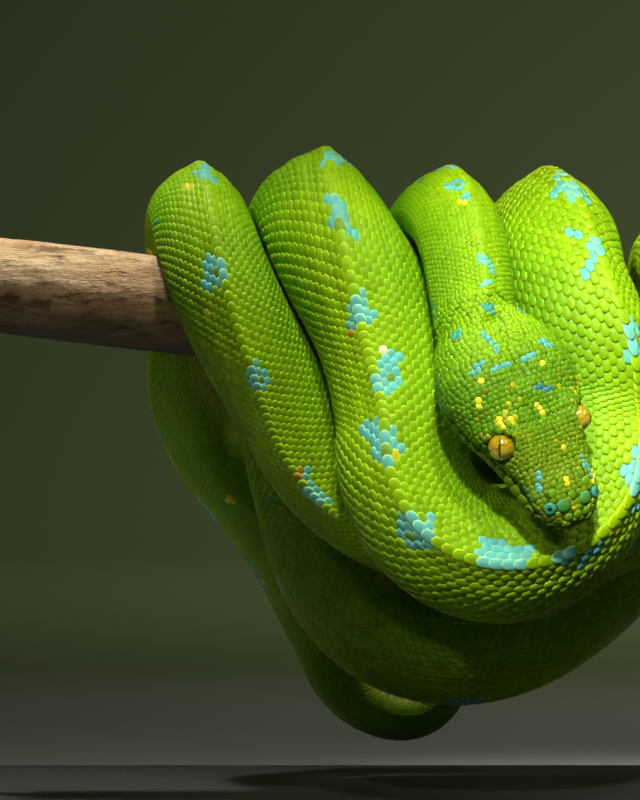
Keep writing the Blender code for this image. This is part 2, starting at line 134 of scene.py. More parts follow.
NAPE = (4.6, -49.0, 2.7)
HEAD_FORWARD = (23.5, -13.0, -47.6)
HEAD_ROLL = 25.0
INSIDE_HEAD = (40.0, 20.0, 0.0, -6.0)
LOOP_ANGLES = (10, 35, 62, 90, 118, 145, 170)
SMALL_LOOP_ANGLES = (20, 60, 90, 120, 160)
OVER_ANGLES = (90, 45, 0)


@dataclass(frozen=True)
class HeadStation:
    """Half width, height of the crown, depth of the throat and squareness at one place."""

    along: float
    half_width: float
    crown: float
    throat: float
    square: float


HEAD_FORM = (
    HeadStation(0.0, 10.4, 9.9, 9.2, 1.00),
    HeadStation(5.0, 14.2, 10.2, 9.8, 0.96),
    HeadStation(12.0, 17.4, 10.8, 10.0, 0.90),
    HeadStation(18.0, 17.9, 10.8, 9.8, 0.86),
    HeadStation(22.0, 17.0, 10.4, 9.4, 0.84),
    HeadStation(26.0, 16.0, 10.0, 8.8, 0.82),
    HeadStation(32.0, 13.2, 9.0, 7.8, 0.80),
    HeadStation(38.0, 11.2, 7.2, 7.2, 0.80),
    HeadStation(43.0, 10.6, 6.0, 6.8, 0.80),
    HeadStation(48.0, 9.4, 5.1, 6.2, 0.82),
    HeadStation(52.0, 6.8, 3.9, 5.0, 0.86),
    HeadStation(54.5, 3.0, 1.7, 3.0, 0.95),
)
HEAD_LENGTH = HEAD_FORM[-1].along


@dataclass(frozen=True)
class Pass:
    """One crossing of the branch: x on top, in front and behind, lift, and turns of the back."""

    top: float
    front: float
    back: float
    radius: float
    lift: float
    turn_top: float
    turn_front: float
    turn_back: float


@dataclass(frozen=True)
class Loop:
    """One loop that hangs below the branch, in front (-1) or behind (+1)."""

    side: int
    left: float
    right: float
    level: float
    drop: float
    skew: float
    stand_off: float
    stand_off_low: float
    turn_left: float
    turn_low: float
    turn_right: float


PASS_A = Pass(-61.5, -46.5, -66.0, 12.6, 0.0, 8.0, -4.0, -32.0)
PASS_B = Pass(-34.5, -18.0, -37.0, 15.8, 2.0, 12.0, -15.0, -12.0)
PASS_C = Pass(-7.5, 2.5, -11.5, 12.0, 9.0, 8.0, 4.0, -10.0)
PASS_D = Pass(11.5, 20.5, 20.0, 16.2, 12.5, -4.0, 30.0, 5.0)
PASS_E = Pass(60.0, 55.5, 60.0, 14.6, 0.5, 15.0, 40.0, 25.0)
INNER_FRONT = Loop(-1, -17.0, 43.0, -22.0, 46.8, 3.0, 31.5, 43.0, 14.0, 4.0, 42.0)
OUTER_FRONT = Loop(-1, -37.5, 57.0, -15.5, 38.5, 0.0, 19.0, 9.0, 26.0, 18.0, 40.0)
SMALL_BACK = Loop(1, -12.5, 28.5, -16.0, 40.0, 0.0, 31.0, 33.5, 45.0, 75.0, 45.0)
WIDE_BACK = Loop(1, -37.0, 54.0, -28.0, 56.0, -8.0, 33.0, 36.0, 55.0, 85.0, 60.0)
NECK_WAY = (
    (5.6, -43.0, 15.5, 0.25, -0.75, 0.6),
    (5.8, -32.0, 26.0, 0.25, -0.55, 0.8),
    (1.0, -16.5, 32.8, 0.15, -0.3, 0.95),
)
HIND_WAY = (
    (-62.5, 32.0, -13.0, -0.7, 0.65, -0.3),
    (-53.5, 46.0, -34.0, -0.8, 0.3, -0.5),
    (-40.0, 59.0, -50.0, -0.85, 0.25, -0.5),
    (-33.0, 63.0, -66.0, -0.9, 0.25, -0.4),
)
CURL_MIDDLE = (-9.5, -82.5)
CURL_DEPTH = (63.0, 71.0)
CURL_TURNS = 1.35
CURL_RADII = (22.8, 3.8)
CURL_STEP = 27
CURL_TIGHTENING = 0.8
CURL_BACK = (0.9, 0.43)


def unit(vectors: Array) -> Array:
    """The same directions at length one."""
    return vectors / (np.linalg.norm(vectors, axis=-1, keepdims=True) + 1e-12)


def smoothstep(value: Array) -> Array:
    """An easy rise from 0 to 1 as the value goes from 0 to 1."""
    value = np.clip(value, 0.0, 1.0)
    return value * value * (3 - 2 * value)


def smooth(values: Array, times: int, weight: float = 0.5) -> Array:
    """Move each value towards its neighbours' mean; the two ends stay.

    Args:
        values: Rows of values.
        times: How often.
        weight: How far each time.

    Returns:
        The smoothed copy.
    """
    values = values.copy()
    for _ in range(times):
        values[1:-1] += weight * (0.5 * (values[:-2] + values[2:]) - values[1:-1])
    return values


def run(points: Array) -> Array:
    """Distance along the points from the first one."""
    return np.r_[0, np.cumsum(np.linalg.norm(np.diff(points[:, :3], axis=0), axis=1))]


def columns_at(places: Array, far: Array, values: Array) -> Array:
    """Read each column of values, known at far, at the given places."""
    return np.stack([np.interp(places, far, column) for column in values.T], 1)


def through(points: Array, most: float = 1.0) -> Array:
    """A smooth curve through the points (centripetal Catmull-Rom).

    Args:
        points: Rows whose first three columns are a place.
        most: Largest spacing of the samples.

    Returns:
        The samples, the last point included.
    """
    points = np.vstack([2 * points[0] - points[1], points, 2 * points[-1] - points[-2]])
    curve = []
    for p0, p1, p2, p3 in zip(points, points[1:], points[2:], points[3:]):
        gaps = [max(np.linalg.norm((b - a)[:3]), 1e-6) for a, b in ((p0, p1), (p1, p2), (p2, p3))]
        t1 = gaps[0] ** 0.5
        t2 = t1 + gaps[1] ** 0.5
        t3 = t2 + gaps[2] ** 0.5
        for t in np.linspace(t1, t2, max(2, int(gaps[1] / most)), endpoint=False):
            a1 = ((t1 - t) * p0 + t * p1) / t1
            a2 = ((t2 - t) * p1 + (t - t1) * p2) / (t2 - t1)
            a3 = ((t3 - t) * p2 + (t - t2) * p3) / (t3 - t2)
            b1 = ((t2 - t) * a1 + t * a2) / t2
            b2 = ((t3 - t) * a2 + (t - t1) * a3) / (t3 - t1)
            curve.append(((t2 - t) * b1 + (t - t1) * b2) / (t2 - t1))
    curve.append(points[-2])
    return np.array(curve)


def branch_z(x: float) -> float:
    """Height of the branch's axis at x, over its middle."""
    return -x * tan(radians(BRANCH_DIP))


def head_axes() -> tuple[Array, Array, Array]:
    """The head's forward, left and up directions."""
    forward = unit(np.array(HEAD_FORWARD))
    facing = np.array([0.0, -1.0, 0.0])
    up = unit(facing - (facing @ forward) * forward)
    left = np.cross(up, forward)
    up = up * cos(radians(HEAD_ROLL)) + left * sin(radians(HEAD_ROLL))
    return forward, np.cross(up, forward), up


class Route:
    """The settled way of the body from the nape to the tail's tip."""

    def __init__(self) -> None:
        """Draw the way and let it settle."""
        points = through(self.drawn())
        far = run(points)
        places = np.linspace(0, far[-1], int(round(far[-1] / ROUTE_STEP)) + 1)
        points = smooth(columns_at(places, far, points), 5)
        first = int(np.argmin(np.linalg.norm(points[:, :3] - NAPE, axis=1)))
        points = points[first:]
        points[0, :3] = NAPE
        place, back, self.radius = self.settled(points)
        tangent = np.gradient(place, axis=0)
        tangent[0] = -np.array(HEAD_FORWARD)
        tangent = unit(tangent)
        for _ in range(2):
            back = smooth(back, 6)
            back = unit(back - (back * tangent).sum(1)[:, None] * tangent)
        self.place = place + np.array([0, 0, BRANCH_HEIGHT])
        self.tangent, self.back, self.far = tangent, back, run(place)

    @staticmethod
    def over_branch(crossing: Pass, side: int, angles: Sequence[float]) -> list[tuple]:
        """Places and back directions over the branch.

        Args:
            crossing: The pass.
            side: -1 for the front half, 1 for the half behind.
            angles: Degrees from the top.

        Returns:
            Rows of place and back direction.
        """
        end_x = crossing.front if side < 0 else crossing.back
        end_turn = crossing.turn_front if side < 0 else crossing.turn_back
        way = []
        for angle in angles:
            t = radians(angle)
            x = crossing.top + (end_x - crossing.top) * sin(t)
            reach = BRANCH_RADIUS + crossing.radius * FORM_REACH[-1] + TOUCH_GAP + crossing.lift * cos(t)
            turn = radians(crossing.turn_top + (end_turn - crossing.turn_top) * sin(t))
            way.append((
                x, side * reach * sin(t), branch_z(x) + reach * cos(t),
                sin(turn), side * sin(t) * cos(turn), cos(t) * cos(turn),
            ))
        return way

    @staticmethod
    def hang(loop: Loop, angles: Sequence[float]) -> list[tuple]:
        """Places and back directions round a hanging loop, from left to right."""
        middle, half = (loop.left + loop.right) / 2, (loop.right - loop.left) / 2
        way = []
        for angle in angles:
            t = radians(angle)
            stand_off = loop.stand_off + (loop.stand_off_low - loop.stand_off) * sin(t) ** 2
            end_turn = loop.turn_left if cos(t) > 0 else loop.turn_right
            turn = radians(end_turn * cos(t) ** 2 + loop.turn_low * sin(t) ** 2)
            way.append((
                middle - half * cos(t) + loop.skew * sin(t),
                loop.side * stand_off,
                loop.level - loop.drop * sin(t),
                -cos(t) * sin(turn), loop.side * cos(turn), -sin(t) * sin(turn),
            ))
        return way

    @staticmethod
    def curl() -> list[tuple]:
        """The tail's hanging curl, from its outer left side inwards."""
        count = int(CURL_TURNS * 360 / CURL_STEP)
        way = []
        for i in range(count + 1):
            f = i / count
            t = radians(180 + f * CURL_TURNS * 360)
            reach = CURL_RADII[1] + (CURL_RADII[0] - CURL_RADII[1]) * (1 - f) ** CURL_TIGHTENING
            depth = CURL_DEPTH[0] + (CURL_DEPTH[1] - CURL_DEPTH[0]) * f
            way.append((
                CURL_MIDDLE[0] + reach * cos(t), depth, CURL_MIDDLE[1] + reach * sin(t),
                CURL_BACK[0] * cos(t), CURL_BACK[1], CURL_BACK[0] * sin(t),
            ))
        return way

    def drawn(self) -> Array:
        """The whole way from inside the head to the tail's tip."""
        forward, _, up = head_axes()
        way = [tuple(np.array(NAPE) + forward * d) + tuple(up) for d in INSIDE_HEAD]
        way += NECK_WAY
        way += self.over_branch(PASS_C, 1, OVER_ANGLES[::-1])
        way += self.hang(SMALL_BACK, SMALL_LOOP_ANGLES)
        way += self.over_branch(PASS_D, 1, OVER_ANGLES)
        way += self.over_branch(PASS_D, -1, OVER_ANGLES[1::-1])
        way += self.hang(INNER_FRONT, LOOP_ANGLES)[::-1]
        way += self.over_branch(PASS_B, -1, OVER_ANGLES)
        way += self.over_branch(PASS_B, 1, OVER_ANGLES[1::-1])
        way += self.hang(WIDE_BACK, LOOP_ANGLES)
        way += self.over_branch(PASS_E, 1, OVER_ANGLES)
        way += self.over_branch(PASS_E, -1, OVER_ANGLES[1::-1])
        way += self.hang(OUTER_FRONT, LOOP_ANGLES)[::-1]
        way += self.over_branch(PASS_A, -1, OVER_ANGLES)
        way += self.over_branch(PASS_A, 1, OVER_ANGLES[1::-1])
        way += HIND_WAY
        way += self.curl()
        return np.array(way)

    @staticmethod
    def head_balls() -> list[tuple[Array, float]]:
        """Balls that fill the head, which the coils under it keep clear of."""
        forward, left, up = head_axes()
        balls = []
        for station in HEAD_FORM[2:-1]:
            ball = (station.crown + station.throat) / 2
            rise = (station.crown - station.throat) / 2
            spread = station.half_width - BALL_SPREAD * ball
            for side in np.linspace(-spread, spread, 3):
                middle = np.array(NAPE) + forward * station.along + left * side + up * rise
                balls.append((middle, ball))
        return balls

    def settled(self, points: Array) -> tuple[Array, Array, Array]:
        """Push coils apart that press on each other, the branch or the head, and ease tight bends.

        Args:
            points: The drawn way.

        Returns:
            Places, back directions and radii.
        """
        place, back = points[:, :3].copy(), unit(points[:, 3:])
        drawn = place.copy()
        far = run(place)
        radius = np.interp(far / far[-1], RADIUS_PLACES, RADII)
        need = radius[:, None] + radius[None, :] + TOUCH_GAP
        apart = np.abs(far[:, None] - far[None, :]) > OWN_REACH * need
        axis = np.array([cos(radians(BRANCH_DIP)), 0, -sin(radians(BRANCH_DIP))])
        free = np.clip(np.arange(len(place)) / STIFF_START, 0, 1)[:, None]
        balls = self.head_balls()
        for turn in range(ROUNDS):
            between = place[:, None, :] - place[None, :, :]
            distance = np.sqrt((between ** 2).sum(2)) + 1e-9
            lap = np.where(apart & (distance < need), need - distance, 0.0)
            share = lap / (lap.sum(1, keepdims=True) + 1e-9)
            move = smooth((between / distance[:, :, None] * (lap * share)[:, :, None]).sum(1) * 0.5, 3)
            from_axis = place - (place @ axis)[:, None] * axis
            reach = np.linalg.norm(from_axis, axis=1)
            outward = from_axis / reach[:, None]
            lean = np.degrees(np.arccos(np.clip((outward * back).sum(1), -1, 1)))
            depth = np.interp(180 - lean, FORM_ANGLES, FORM_REACH) * radius
            move += outward * np.clip(BRANCH_RADIUS + depth + TOUCH_GAP - reach, 0, None)[:, None]
            for middle, ball in balls:
                away = place - middle
                reach = np.linalg.norm(away, axis=1)
                sunk = np.clip(ball + radius + TOUCH_GAP - reach, 0, None)
                sunk[:HEAD_JOIN] = 0
                move += away / reach[:, None] * sunk[:, None]
            place = place + PUSH * move * free
            bow = 0.5 * (place[:-2] + place[2:]) - place[1:-1]
            link = np.linalg.norm(np.diff(place, axis=0), axis=1)
            bend = np.zeros(len(place))
            bend[1:-1] = 2 * np.linalg.norm(bow, axis=1) / (link[:-1] * link[1:]) * radius[1:-1]
            ease = smooth(np.clip((bend - TIGHTEST_BEND) / 0.2, 0, 1), 3)[:, None]
            place = place + (smooth(place, 3) - place) * ease * free
            if turn < FIRM_ROUNDS:
                place = place + DRAWN_PULL * (drawn - place) * free
                place = place + (smooth(place, 2) - place) * free
            else:
                place = place + (smooth(place, 1, LAST_SMOOTHING) - place) * free
        return place, back, radius


# ---------------------------------------------------------------- the surface of the animal

COAT_DEPTH = 0.5
EYE_RADIUS = 3.4
EYE_PLACE = (31.5, 10.6, 4.0)
EYE_RING_SCALES = 18
NOSTRIL_PLACE = (49.4, 0.80)         # along the head, and turn round it
MOUTH_LINE = ((12.0, -5.6), (21.0, -4.4), (33.0, -3.5), (46.0, -2.8), (58.0, -2.4))


def hump(value: Array, low: float, high: float, ease: float) -> Array:
    """1 between low and high, easing to 0 outside over ease."""
    return smoothstep((value - low + ease) / ease) * smoothstep((high + ease - value) / ease)


def from_ridge(phi: Array) -> Array:
    """Degrees from the ridge of the back, 0 to 180, for turns in radians."""
    return np.degrees(np.arccos(np.cos(phi)))


def eye_distance(along: Array, wide: Array, high: Array) -> Array:
    """Distance from the nearer eye's middle, for places in the head's own frame."""
    ahead, aside, above = EYE_PLACE
    return np.sqrt((along - ahead) ** 2 + (np.abs(wide) - aside) ** 2 + (high - above) ** 2)


@dataclass
class Spots:
    """Places on the surface with their frames: tailward, sideways (to the left) and outward."""

    u: Array
    phi: Array
    place: Array
    tailward: Array
    sideways: Array
    outward: Array
    stretch: Array               # surface length per unit of distance along the body
    girth: Array                 # surface length per radian round the body

    def pick(self, mask: Array) -> "Spots":
        """Only the places where the mask is true."""
        return Spots(**{name: value[mask] for name, value in vars(self).items()})


class Hide:
    """The animal's surface, read at a distance from the nape and a turn round the body."""

    def __init__(self, route: Route) -> None:
        """Join the head's straight axis to the settled route, sampled finely."""
        forward, left, up = head_axes()
        rows = np.hstack([route.place, route.tangent, route.back, route.radius[:, None],
                          route.far[:, None]])
        fine = through(rows, 0.5)
        start = np.array(NAPE) + np.array([0, 0, BRANCH_HEIGHT])
        ahead = []
        for along in np.linspace(HEAD_LENGTH + 2, 0.5, 60):
            ahead.append(np.r_[start + forward * along, -forward, up, RADII[0], -along])
        self.rows = np.vstack([ahead, fine])
        self.u = self.rows[:, 10]
        self.length = float(route.far[-1])
        self.forward, self.left, self.up, self.nape = forward, left, up, start
        steps = np.arange(0, HEAD_LENGTH + 0.01, 0.25)
        places = [s.along for s in HEAD_FORM]
        table = np.array([(s.half_width, s.crown, s.throat, s.square) for s in HEAD_FORM])
        self.head_steps = steps
        self.head_table = smooth(columns_at(steps, np.array(places), table), 24)

    def line(self, u: Array) -> tuple[Array, Array, Array, Array, Array]:
        """Centre, tangent, back, side and radius at distances u."""
        rows = columns_at(u, self.u, self.rows)
        centre, tangent = rows[:, :3], unit(rows[:, 3:6])
        back = unit(rows[:, 6:9] - (rows[:, 6:9] * tangent).sum(1)[:, None] * tangent)
        return centre, tangent, back, np.cross(tangent, back), rows[:, 9]

    def radius(self, u: Array) -> Array:
        """The body's radius at distances u."""
        return np.interp(u, self.u, self.rows[:, 9])

    def girth_share(self, u: Array) -> Array:
        """The body's radius at distances u over its full one."""
        return self.radius(u) / max(RADII)

    def head_section(self, along: Array) -> Array:
        """Half width, crown, throat and squareness of the head, one row for each place."""
        return columns_at(along, self.head_steps, self.head_table)

    def turn_at(self, along: float, high: float) -> float:
        """The turn, on the left side, at which the head's surface lies at a height."""
        _, crown, throat, square = self.head_section(np.array([along]))[0]
        full = crown if high > 0 else throat
        cosine = min(abs(high) / full, 1.0) ** (1 / square)
        return float(np.arccos(np.sign(high) * cosine))

    @staticmethod
    def head_relief(along: Array, wide: Array, high: Array) -> Array:
        """How deep the head's hollows lie under its full form.

        Args:
            along: Distance ahead of the nape.
            wide: Distance to the side.
            high: Height over the head's axis.

        Returns:
            The depth in millimetres.
        """
        x, top = np.abs(wide), high > 0
        mouth = np.interp(along, *zip(*MOUTH_LINE))
        depth = 1.5 * np.exp(-(x / 2.6) ** 2) * hump(along, 3, 16, 5) * top
        depth += 0.9 * np.exp(-((x - 1.0) / 3.4) ** 2) * hump(along, 27, 40, 5) * top
        depth += 0.7 * np.exp(-((along - 24.5) / 2.4) ** 2) * hump(x, 8, 14, 3) * top
        side = smoothstep((x - 4.5) / 2)
        depth += 1.25 * np.exp(-((along - 42) / 4.2) ** 2 - ((high - 1.2) / 2.0) ** 2) * side
        depth += 0.55 * np.exp(-((high - mouth - 3.4) / 0.8) ** 2) * hump(along, 20, 47, 3) * side
        depth += 0.9 * np.exp(-((high - mouth) / 0.5) ** 2) * hump(along, 15, 60, 3) * smoothstep(x - 1)
        depth += 1.7 * smoothstep((4.3 - eye_distance(along, wide, high)) / 1.3)
        brow = np.exp(-((along - 30.5) / 5.5) ** 2 - ((x - 8.9) / 2.0) ** 2) * smoothstep((high - 4.5) / 1.5)
        depth -= 1.1 * brow
        depth -= 0.5 * np.exp(-((along - 42) / 7.5) ** 2 - ((x - 5.6) / 1.1) ** 2) * top
        return depth

    def points(self, u: Array, phi: Array, lift: float = 0.0) -> Array:
        """Places on the skin.

        Args:
            u: Distances from the nape.
            phi: Turns in radians.
            lift: Height over the skin.

        Returns:
            One row for each place.
        """
        centre, _, back, side, radius = self.line(u)
        turned = from_ridge(phi)
        reach = radius * np.interp(turned, FORM_ANGLES, FORM_REACH)
        body = np.stack([reach * np.sin(phi), reach * np.cos(phi)], 1)
        along = np.clip(-u, 0, HEAD_LENGTH)
        half_width, crown, throat, square = self.head_section(along).T
        sine, cosine = np.sin(phi), np.cos(phi)
        wide = np.sign(sine) * np.abs(sine) ** square * half_width
        high = np.sign(cosine) * np.abs(cosine) ** square * np.where(cosine > 0, crown, throat)
        inward = COAT_DEPTH + self.head_relief(along, wide, high) * smoothstep(along / 3)
        body_share = smoothstep((u + 2) / 6)
        inward = inward * (1 - body_share) + (COAT_DEPTH + self.nape_fold(u, phi)) * body_share
        inward = inward - lift
        head = np.stack([wide, high], 1)
        flat = head * (1 - body_share[:, None]) + body * body_share[:, None]
        slope = np.stack([sine / np.maximum(half_width, 1), cosine / np.maximum(crown, 1)], 1)
        direction = unit(slope * (1 - body_share[:, None]) + np.stack([sine, cosine], 1)
                         * (0.08 * body_share[:, None]))
        full = np.linalg.norm(flat, axis=1)
        flat = flat - direction * np.minimum(inward, 0.75 * full)[:, None]
        return centre + side * flat[:, :1] + back * flat[:, 1:]

    @staticmethod
    def nape_fold(u: Array, phi: Array) -> Array:
        """The small crease of loose skin behind the head, on its left."""
        across = (u - 2.6 + 2.2 * (phi - 0.6)) / 0.8
        return 0.45 * np.exp(-across ** 2) * hump(phi, 0.35, 0.85, 0.3)

    def spots(self, u: Array, phi: Array, lift: float = 0.0) -> Spots:
        """Places on the skin with their frames.

        Args:
            u: Distances from the nape.
            phi: Turns in radians.
            lift: Height over the skin.

        Returns:
            The places and frames.
        """
        u, phi = np.asarray(u, float), np.asarray(phi, float)
        place = self.points(u, phi, lift)
        step, turn = 0.6, 0.05
        along = (self.points(u + step, phi) - self.points(u - step, phi)) / (2 * step)
        round_ = (self.points(u, phi + turn) - self.points(u, phi - turn)) / (2 * turn)
        outward = unit(np.cross(along, round_))
        flip = np.sign((outward * (place - self.line(u)[0])).sum(1))
        outward = outward * np.where(flip == 0, 1, flip)[:, None]
        tailward = unit(along - (along * outward).sum(1)[:, None] * outward)
        return Spots(u, phi, place, tailward, np.cross(outward, tailward), outward,
                     np.linalg.norm(along, axis=1), np.linalg.norm(round_, axis=1))


# ---------------------------------------------------------------- markings

@dataclass(frozen=True)
class Mark:
    """One patch of coloured scales: place, size, slant of its long side, and whether it is a ring."""

    along: float
    turn: float
    length: float
    width: float
    slant: float = 0.0
    paint: Paint = Paint.TURQUOISE
    ring: bool = False


@dataclass(frozen=True)
class Stretch:
    """A length of the back where groups of blue scales stand at an even step."""

    start: float
    end: float
    groups: int
    sway: float = 12.0


# The loops in front carry a chosen number of groups. Elsewhere the steps vary by chance.
STRETCHES = (
    Stretch(10, 34, 2, 18.0),
    Stretch(252, 284, 3),
    Stretch(315, 455, 9),
    Stretch(965, 1008, 3),
)
GROUP_STEPS = (15.0, 26.0)
RING_SHARE = 0.7             # of the groups; the others are bars
SIDE_SPOT_SHARE = 0.45       # of the groups have a yellow or pale spot beside them
GOLD_SPECKS = 10
STRAY_SPOTS = 60
BODY_GROWTH = 1.14           # of the blue marks behind the neck


class Markings:
    """Colours of the skin and of each scale, from where it lies on the body."""

    def __init__(self, hide: Hide, seed: int = 11) -> None:
        """Set out the marks of the head, the groups along the back and the stray spots."""
        self.hide = hide
        chance = np.random.default_rng(seed)
        marks = self.head_marks(chance)
        for along, sway in self.group_places(chance):
            marks += self.group(along, chance.uniform(-sway, sway), chance)
        for _ in range(STRAY_SPOTS):
            marks.append(Mark(chance.uniform(20, hide.length - 60),
                              chance.choice([-1, 1]) * chance.uniform(30, 110), 2.4, 2.2, 0.0,
                              chance.choice([Paint.LEMON, Paint.TEAL, Paint.TEAL])))
        self.marks = marks
        self.at = hide.spots(np.array([m.along for m in marks]),
                             np.radians([m.turn for m in marks]))

    def group_places(self, chance: np.random.Generator) -> list[tuple[float, float]]:
        """Where the groups stand along the back, and how far each may sway from the ridge."""
        places = [(float(along), stretch.sway) for stretch in STRETCHES
                  for along in np.linspace(stretch.start, stretch.end, stretch.groups)]
        along = STRETCHES[0].end
        while along < self.hide.length - 40:
            along += chance.uniform(*GROUP_STEPS)
            if all(abs(along - place) > GROUP_STEPS[0] for place, _ in places):
                places.append((along, 10.0))
        return places

    def group(self, along: float, turn: float, chance: np.random.Generator) -> list[Mark]:
        """One group: a ring or a bar of blue scales with one or two spots beside it."""
        size = chance.uniform(7, 11) * self.hide.girth_share(along)
        ring = chance.random() < RING_SHARE
        marks = [Mark(along, turn, size * chance.uniform(0.9, 1.3), size * (0.65 if ring else 0.4),
                      chance.uniform(-40, 40), ring=ring)]
        for _ in range(chance.integers(1, 3)):
            marks.append(Mark(along + chance.uniform(-6, 6), turn + chance.uniform(-18, 18),
                              size * 0.7, size * 0.35, chance.uniform(-90, 90)))
        if chance.random() < SIDE_SPOT_SHARE:
            marks.append(Mark(along + chance.uniform(-8, 8), turn + chance.uniform(-25, 10), 2.8, 2.5, 0.0,
                              chance.choice([Paint.LEMON, Paint.LEMON, Paint.CREAM, Paint.AMBER])))
        return marks

    @staticmethod
    def head_marks(chance: np.random.Generator) -> list[Mark]:
        """A broken bar behind the eyes, streaks by the nostrils, spots at the nape, gold specks."""
        behind = -EYE_PLACE[0] / 2
        nostril = -NOSTRIL_PLACE[0]
        marks = [Mark(behind + abs(turn) / 12, turn, 5.5, 1.8, 90 - turn, Paint.TURQUOISE)
                 for turn in (-33, -11, 11, 33)]
        marks.append(Mark(behind / 2, -12, 7, 1.7, 15))
        marks.append(Mark(behind - 7, 8, 5, 2.0, 70, Paint.DEEP_BLUE))
        for side in (-1, 1):
            marks.append(Mark(nostril + 6, side * 35, 6, 1.6, side * 12))
            marks.append(Mark(behind, side * 95, 5, 2.0, 15, Paint.TEAL))
            marks.append(Mark(-3, side * 50, 4, 2.6, 70, Paint.SPOT))
        marks.append(Mark(0, 0, 4, 3, 90, Paint.SPOT))
        for _ in range(GOLD_SPECKS):
            marks.append(Mark(chance.uniform(nostril, behind), chance.uniform(-60, 60),
                              chance.uniform(2, 3.5), 1.7, chance.uniform(-60, 60), Paint.LEMON))
        return marks

    def colours(self, u: Array, phi: Array, place: Array, seed: int) -> tuple[Array, Array]:
        """Paint places on the body.

        Args:
            u: Distances from the nape.
            phi: Turns in radians.
            place: The same places in space.
            seed: Starts the small differences between neighbours.

        Returns:
            Linear colours for each place: of a scale's middle, and of its free edge.
        """
        chance = np.random.default_rng(seed)
        grain = chance.uniform(-1, 1, len(u))
        colour, rim = self.ground(u, phi, place, grain, chance)
        self.lay_marks(u, place, grain, chance, colour, rim)
        return np.clip(colour, 0.002, 1.0), np.clip(rim, 0.002, 1.0)

    def ground(self, u: Array, phi: Array, place: Array, grain: Array,
               chance: np.random.Generator) -> tuple[Array, Array]:
        """The greens, and the head's gold and teal scales.

        Args:
            u: Distances from the nape.
            phi: Turns in radians.
            place: The same places in space.
            grain: A small difference for each place, -1 to 1.
            chance: Draws the gold scales.

        Returns:
            Linear colours: of a scale's middle, and of its free edge.
        """
        turned = from_ridge(phi)
        flank = smoothstep((turned - 12) / 60)[:, None]
        belly = smoothstep((turned - 126) / 26)[:, None]
        colour = Paint.CROWN.light * (1 - flank) + Paint.FLANK.light * flank
        colour = colour * (1 - belly) + Paint.BELLY.light * belly
        head = smoothstep((-u - 4) / 14) * (1 - belly[:, 0])
        colour = colour * (1 - 0.8 * head[:, None]) + Paint.FACE.light * 0.8 * head[:, None]
        snout = 0.6 * smoothstep((-u - 26) / 12) * (1 - belly[:, 0])
        colour = colour * (1 - snout[:, None]) + Paint.SNOUT.light * snout[:, None]
        tint = self.patches(place, 0.02, 3)
        colour = colour * (1 + 0.10 * grain + 0.10 * tint)[:, None]
        colour += (0.10 * np.clip(tint, 0, 1) * (1 - head))[:, None] * np.array([0.6, 0.4, 0.0])
        rim = Paint.RIM.light * 0.62 + colour * 0.36
        rim = rim * (1 - head[:, None]) + (colour * 1.2 + Paint.RIM.light * 0.10) * head[:, None]
        rim += Paint.LEMON.light * 0.08 * snout[:, None]
        gold = self.patches(place, 0.05, 8) + 0.45 * grain
        odds = (0.04 + 0.24 * smoothstep((gold - 0.2) / 0.7)) * smoothstep((-u - 12) / 20)
        gilt = (chance.random(len(u)) < odds) & (turned < 75)
        colour[gilt] = (Paint.LEMON.light * (0.30 + 0.22 * grain[gilt, None])
                        + Paint.SNOUT.light * 0.50)
        blue = self.patches(place, 0.045, 21) - 0.35 * gold
        cool = (blue > 0.60) & (u < 6) & (turned > 62) & (turned < 120)
        colour[cool] = colour[cool] * 0.45 + Paint.TEAL.light * 0.35
        rim[cool | gilt] = colour[cool | gilt] * 1.2
        return colour, rim

    def lay_marks(self, u: Array, place: Array, grain: Array, chance: np.random.Generator,
                  colour: Array, rim: Array) -> None:
        """Lay the marks over the ground colours.

        Args:
            u: Distances from the nape.
            place: The same places in space.
            grain: A small difference for each place, -1 to 1.
            chance: Draws the small differences of shade.
            colour: The colours of the scales' middles, changed in place.
            rim: The colours of their free edges, changed in place.
        """
        for mark, middle, along, across in zip(self.marks, self.at.place, self.at.tailward,
                                               self.at.sideways):
            near = np.nonzero(np.abs(u - mark.along) < mark.length + 8)[0]
            if not len(near):
                continue
            offset = place[near] - middle
            a, b = offset @ along, offset @ across
            slant = radians(mark.slant)
            a, b = a * cos(slant) + b * sin(slant), b * cos(slant) - a * sin(slant)
            grown = BODY_GROWTH if mark.paint is Paint.TURQUOISE and mark.along > 20 else 1.0
            q = np.sqrt((a / (mark.length / 2)) ** 2 + (b / (mark.width / 2)) ** 2) / grown
            q = q + 0.08 * grain[near] * (q > 0.3)
            q = np.where(np.linalg.norm(offset, axis=1) < mark.length + 4, q, 9.0)
            inside = near[q < 1.0]
            shade = 0.88 + 0.22 * chance.random((len(inside), 1))
            strength = 0.62 if mark.along < -2 and mark.paint is Paint.TURQUOISE else 0.88
            colour[inside] = mark.paint.light * shade * strength
            rim[inside] = mark.paint.light * (strength + 0.2) + 0.17 * strength
            if mark.ring:
                core = near[q < 0.36]
                colour[core] = Paint.OLIVE.light * 1.1 + Paint.CROWN.light * 0.5
                rim[core] = mark.paint.light
            if mark.paint is Paint.SPOT:
                mixed = near[(q < 1.0) & (grain[near] > 0.1)]
                colour[mixed] = Paint.CROWN.light * 0.5

    @staticmethod
    def patches(place: Array, scale: float, seed: int) -> Array:
        """Soft waves of chance over the body, about -1 to 1, that neighbours share."""
        chance = np.random.default_rng(seed)
        total = np.zeros(len(place))
        for size in (1.0, 1.7, 2.9):
            for _ in range(3):
                way = unit(chance.normal(size=3)) * scale * size * 2 * pi
                total += np.sin(place @ way + chance.uniform(0, 6)) / size
        return total / 3.2


# ---------------------------------------------------------------- meshes

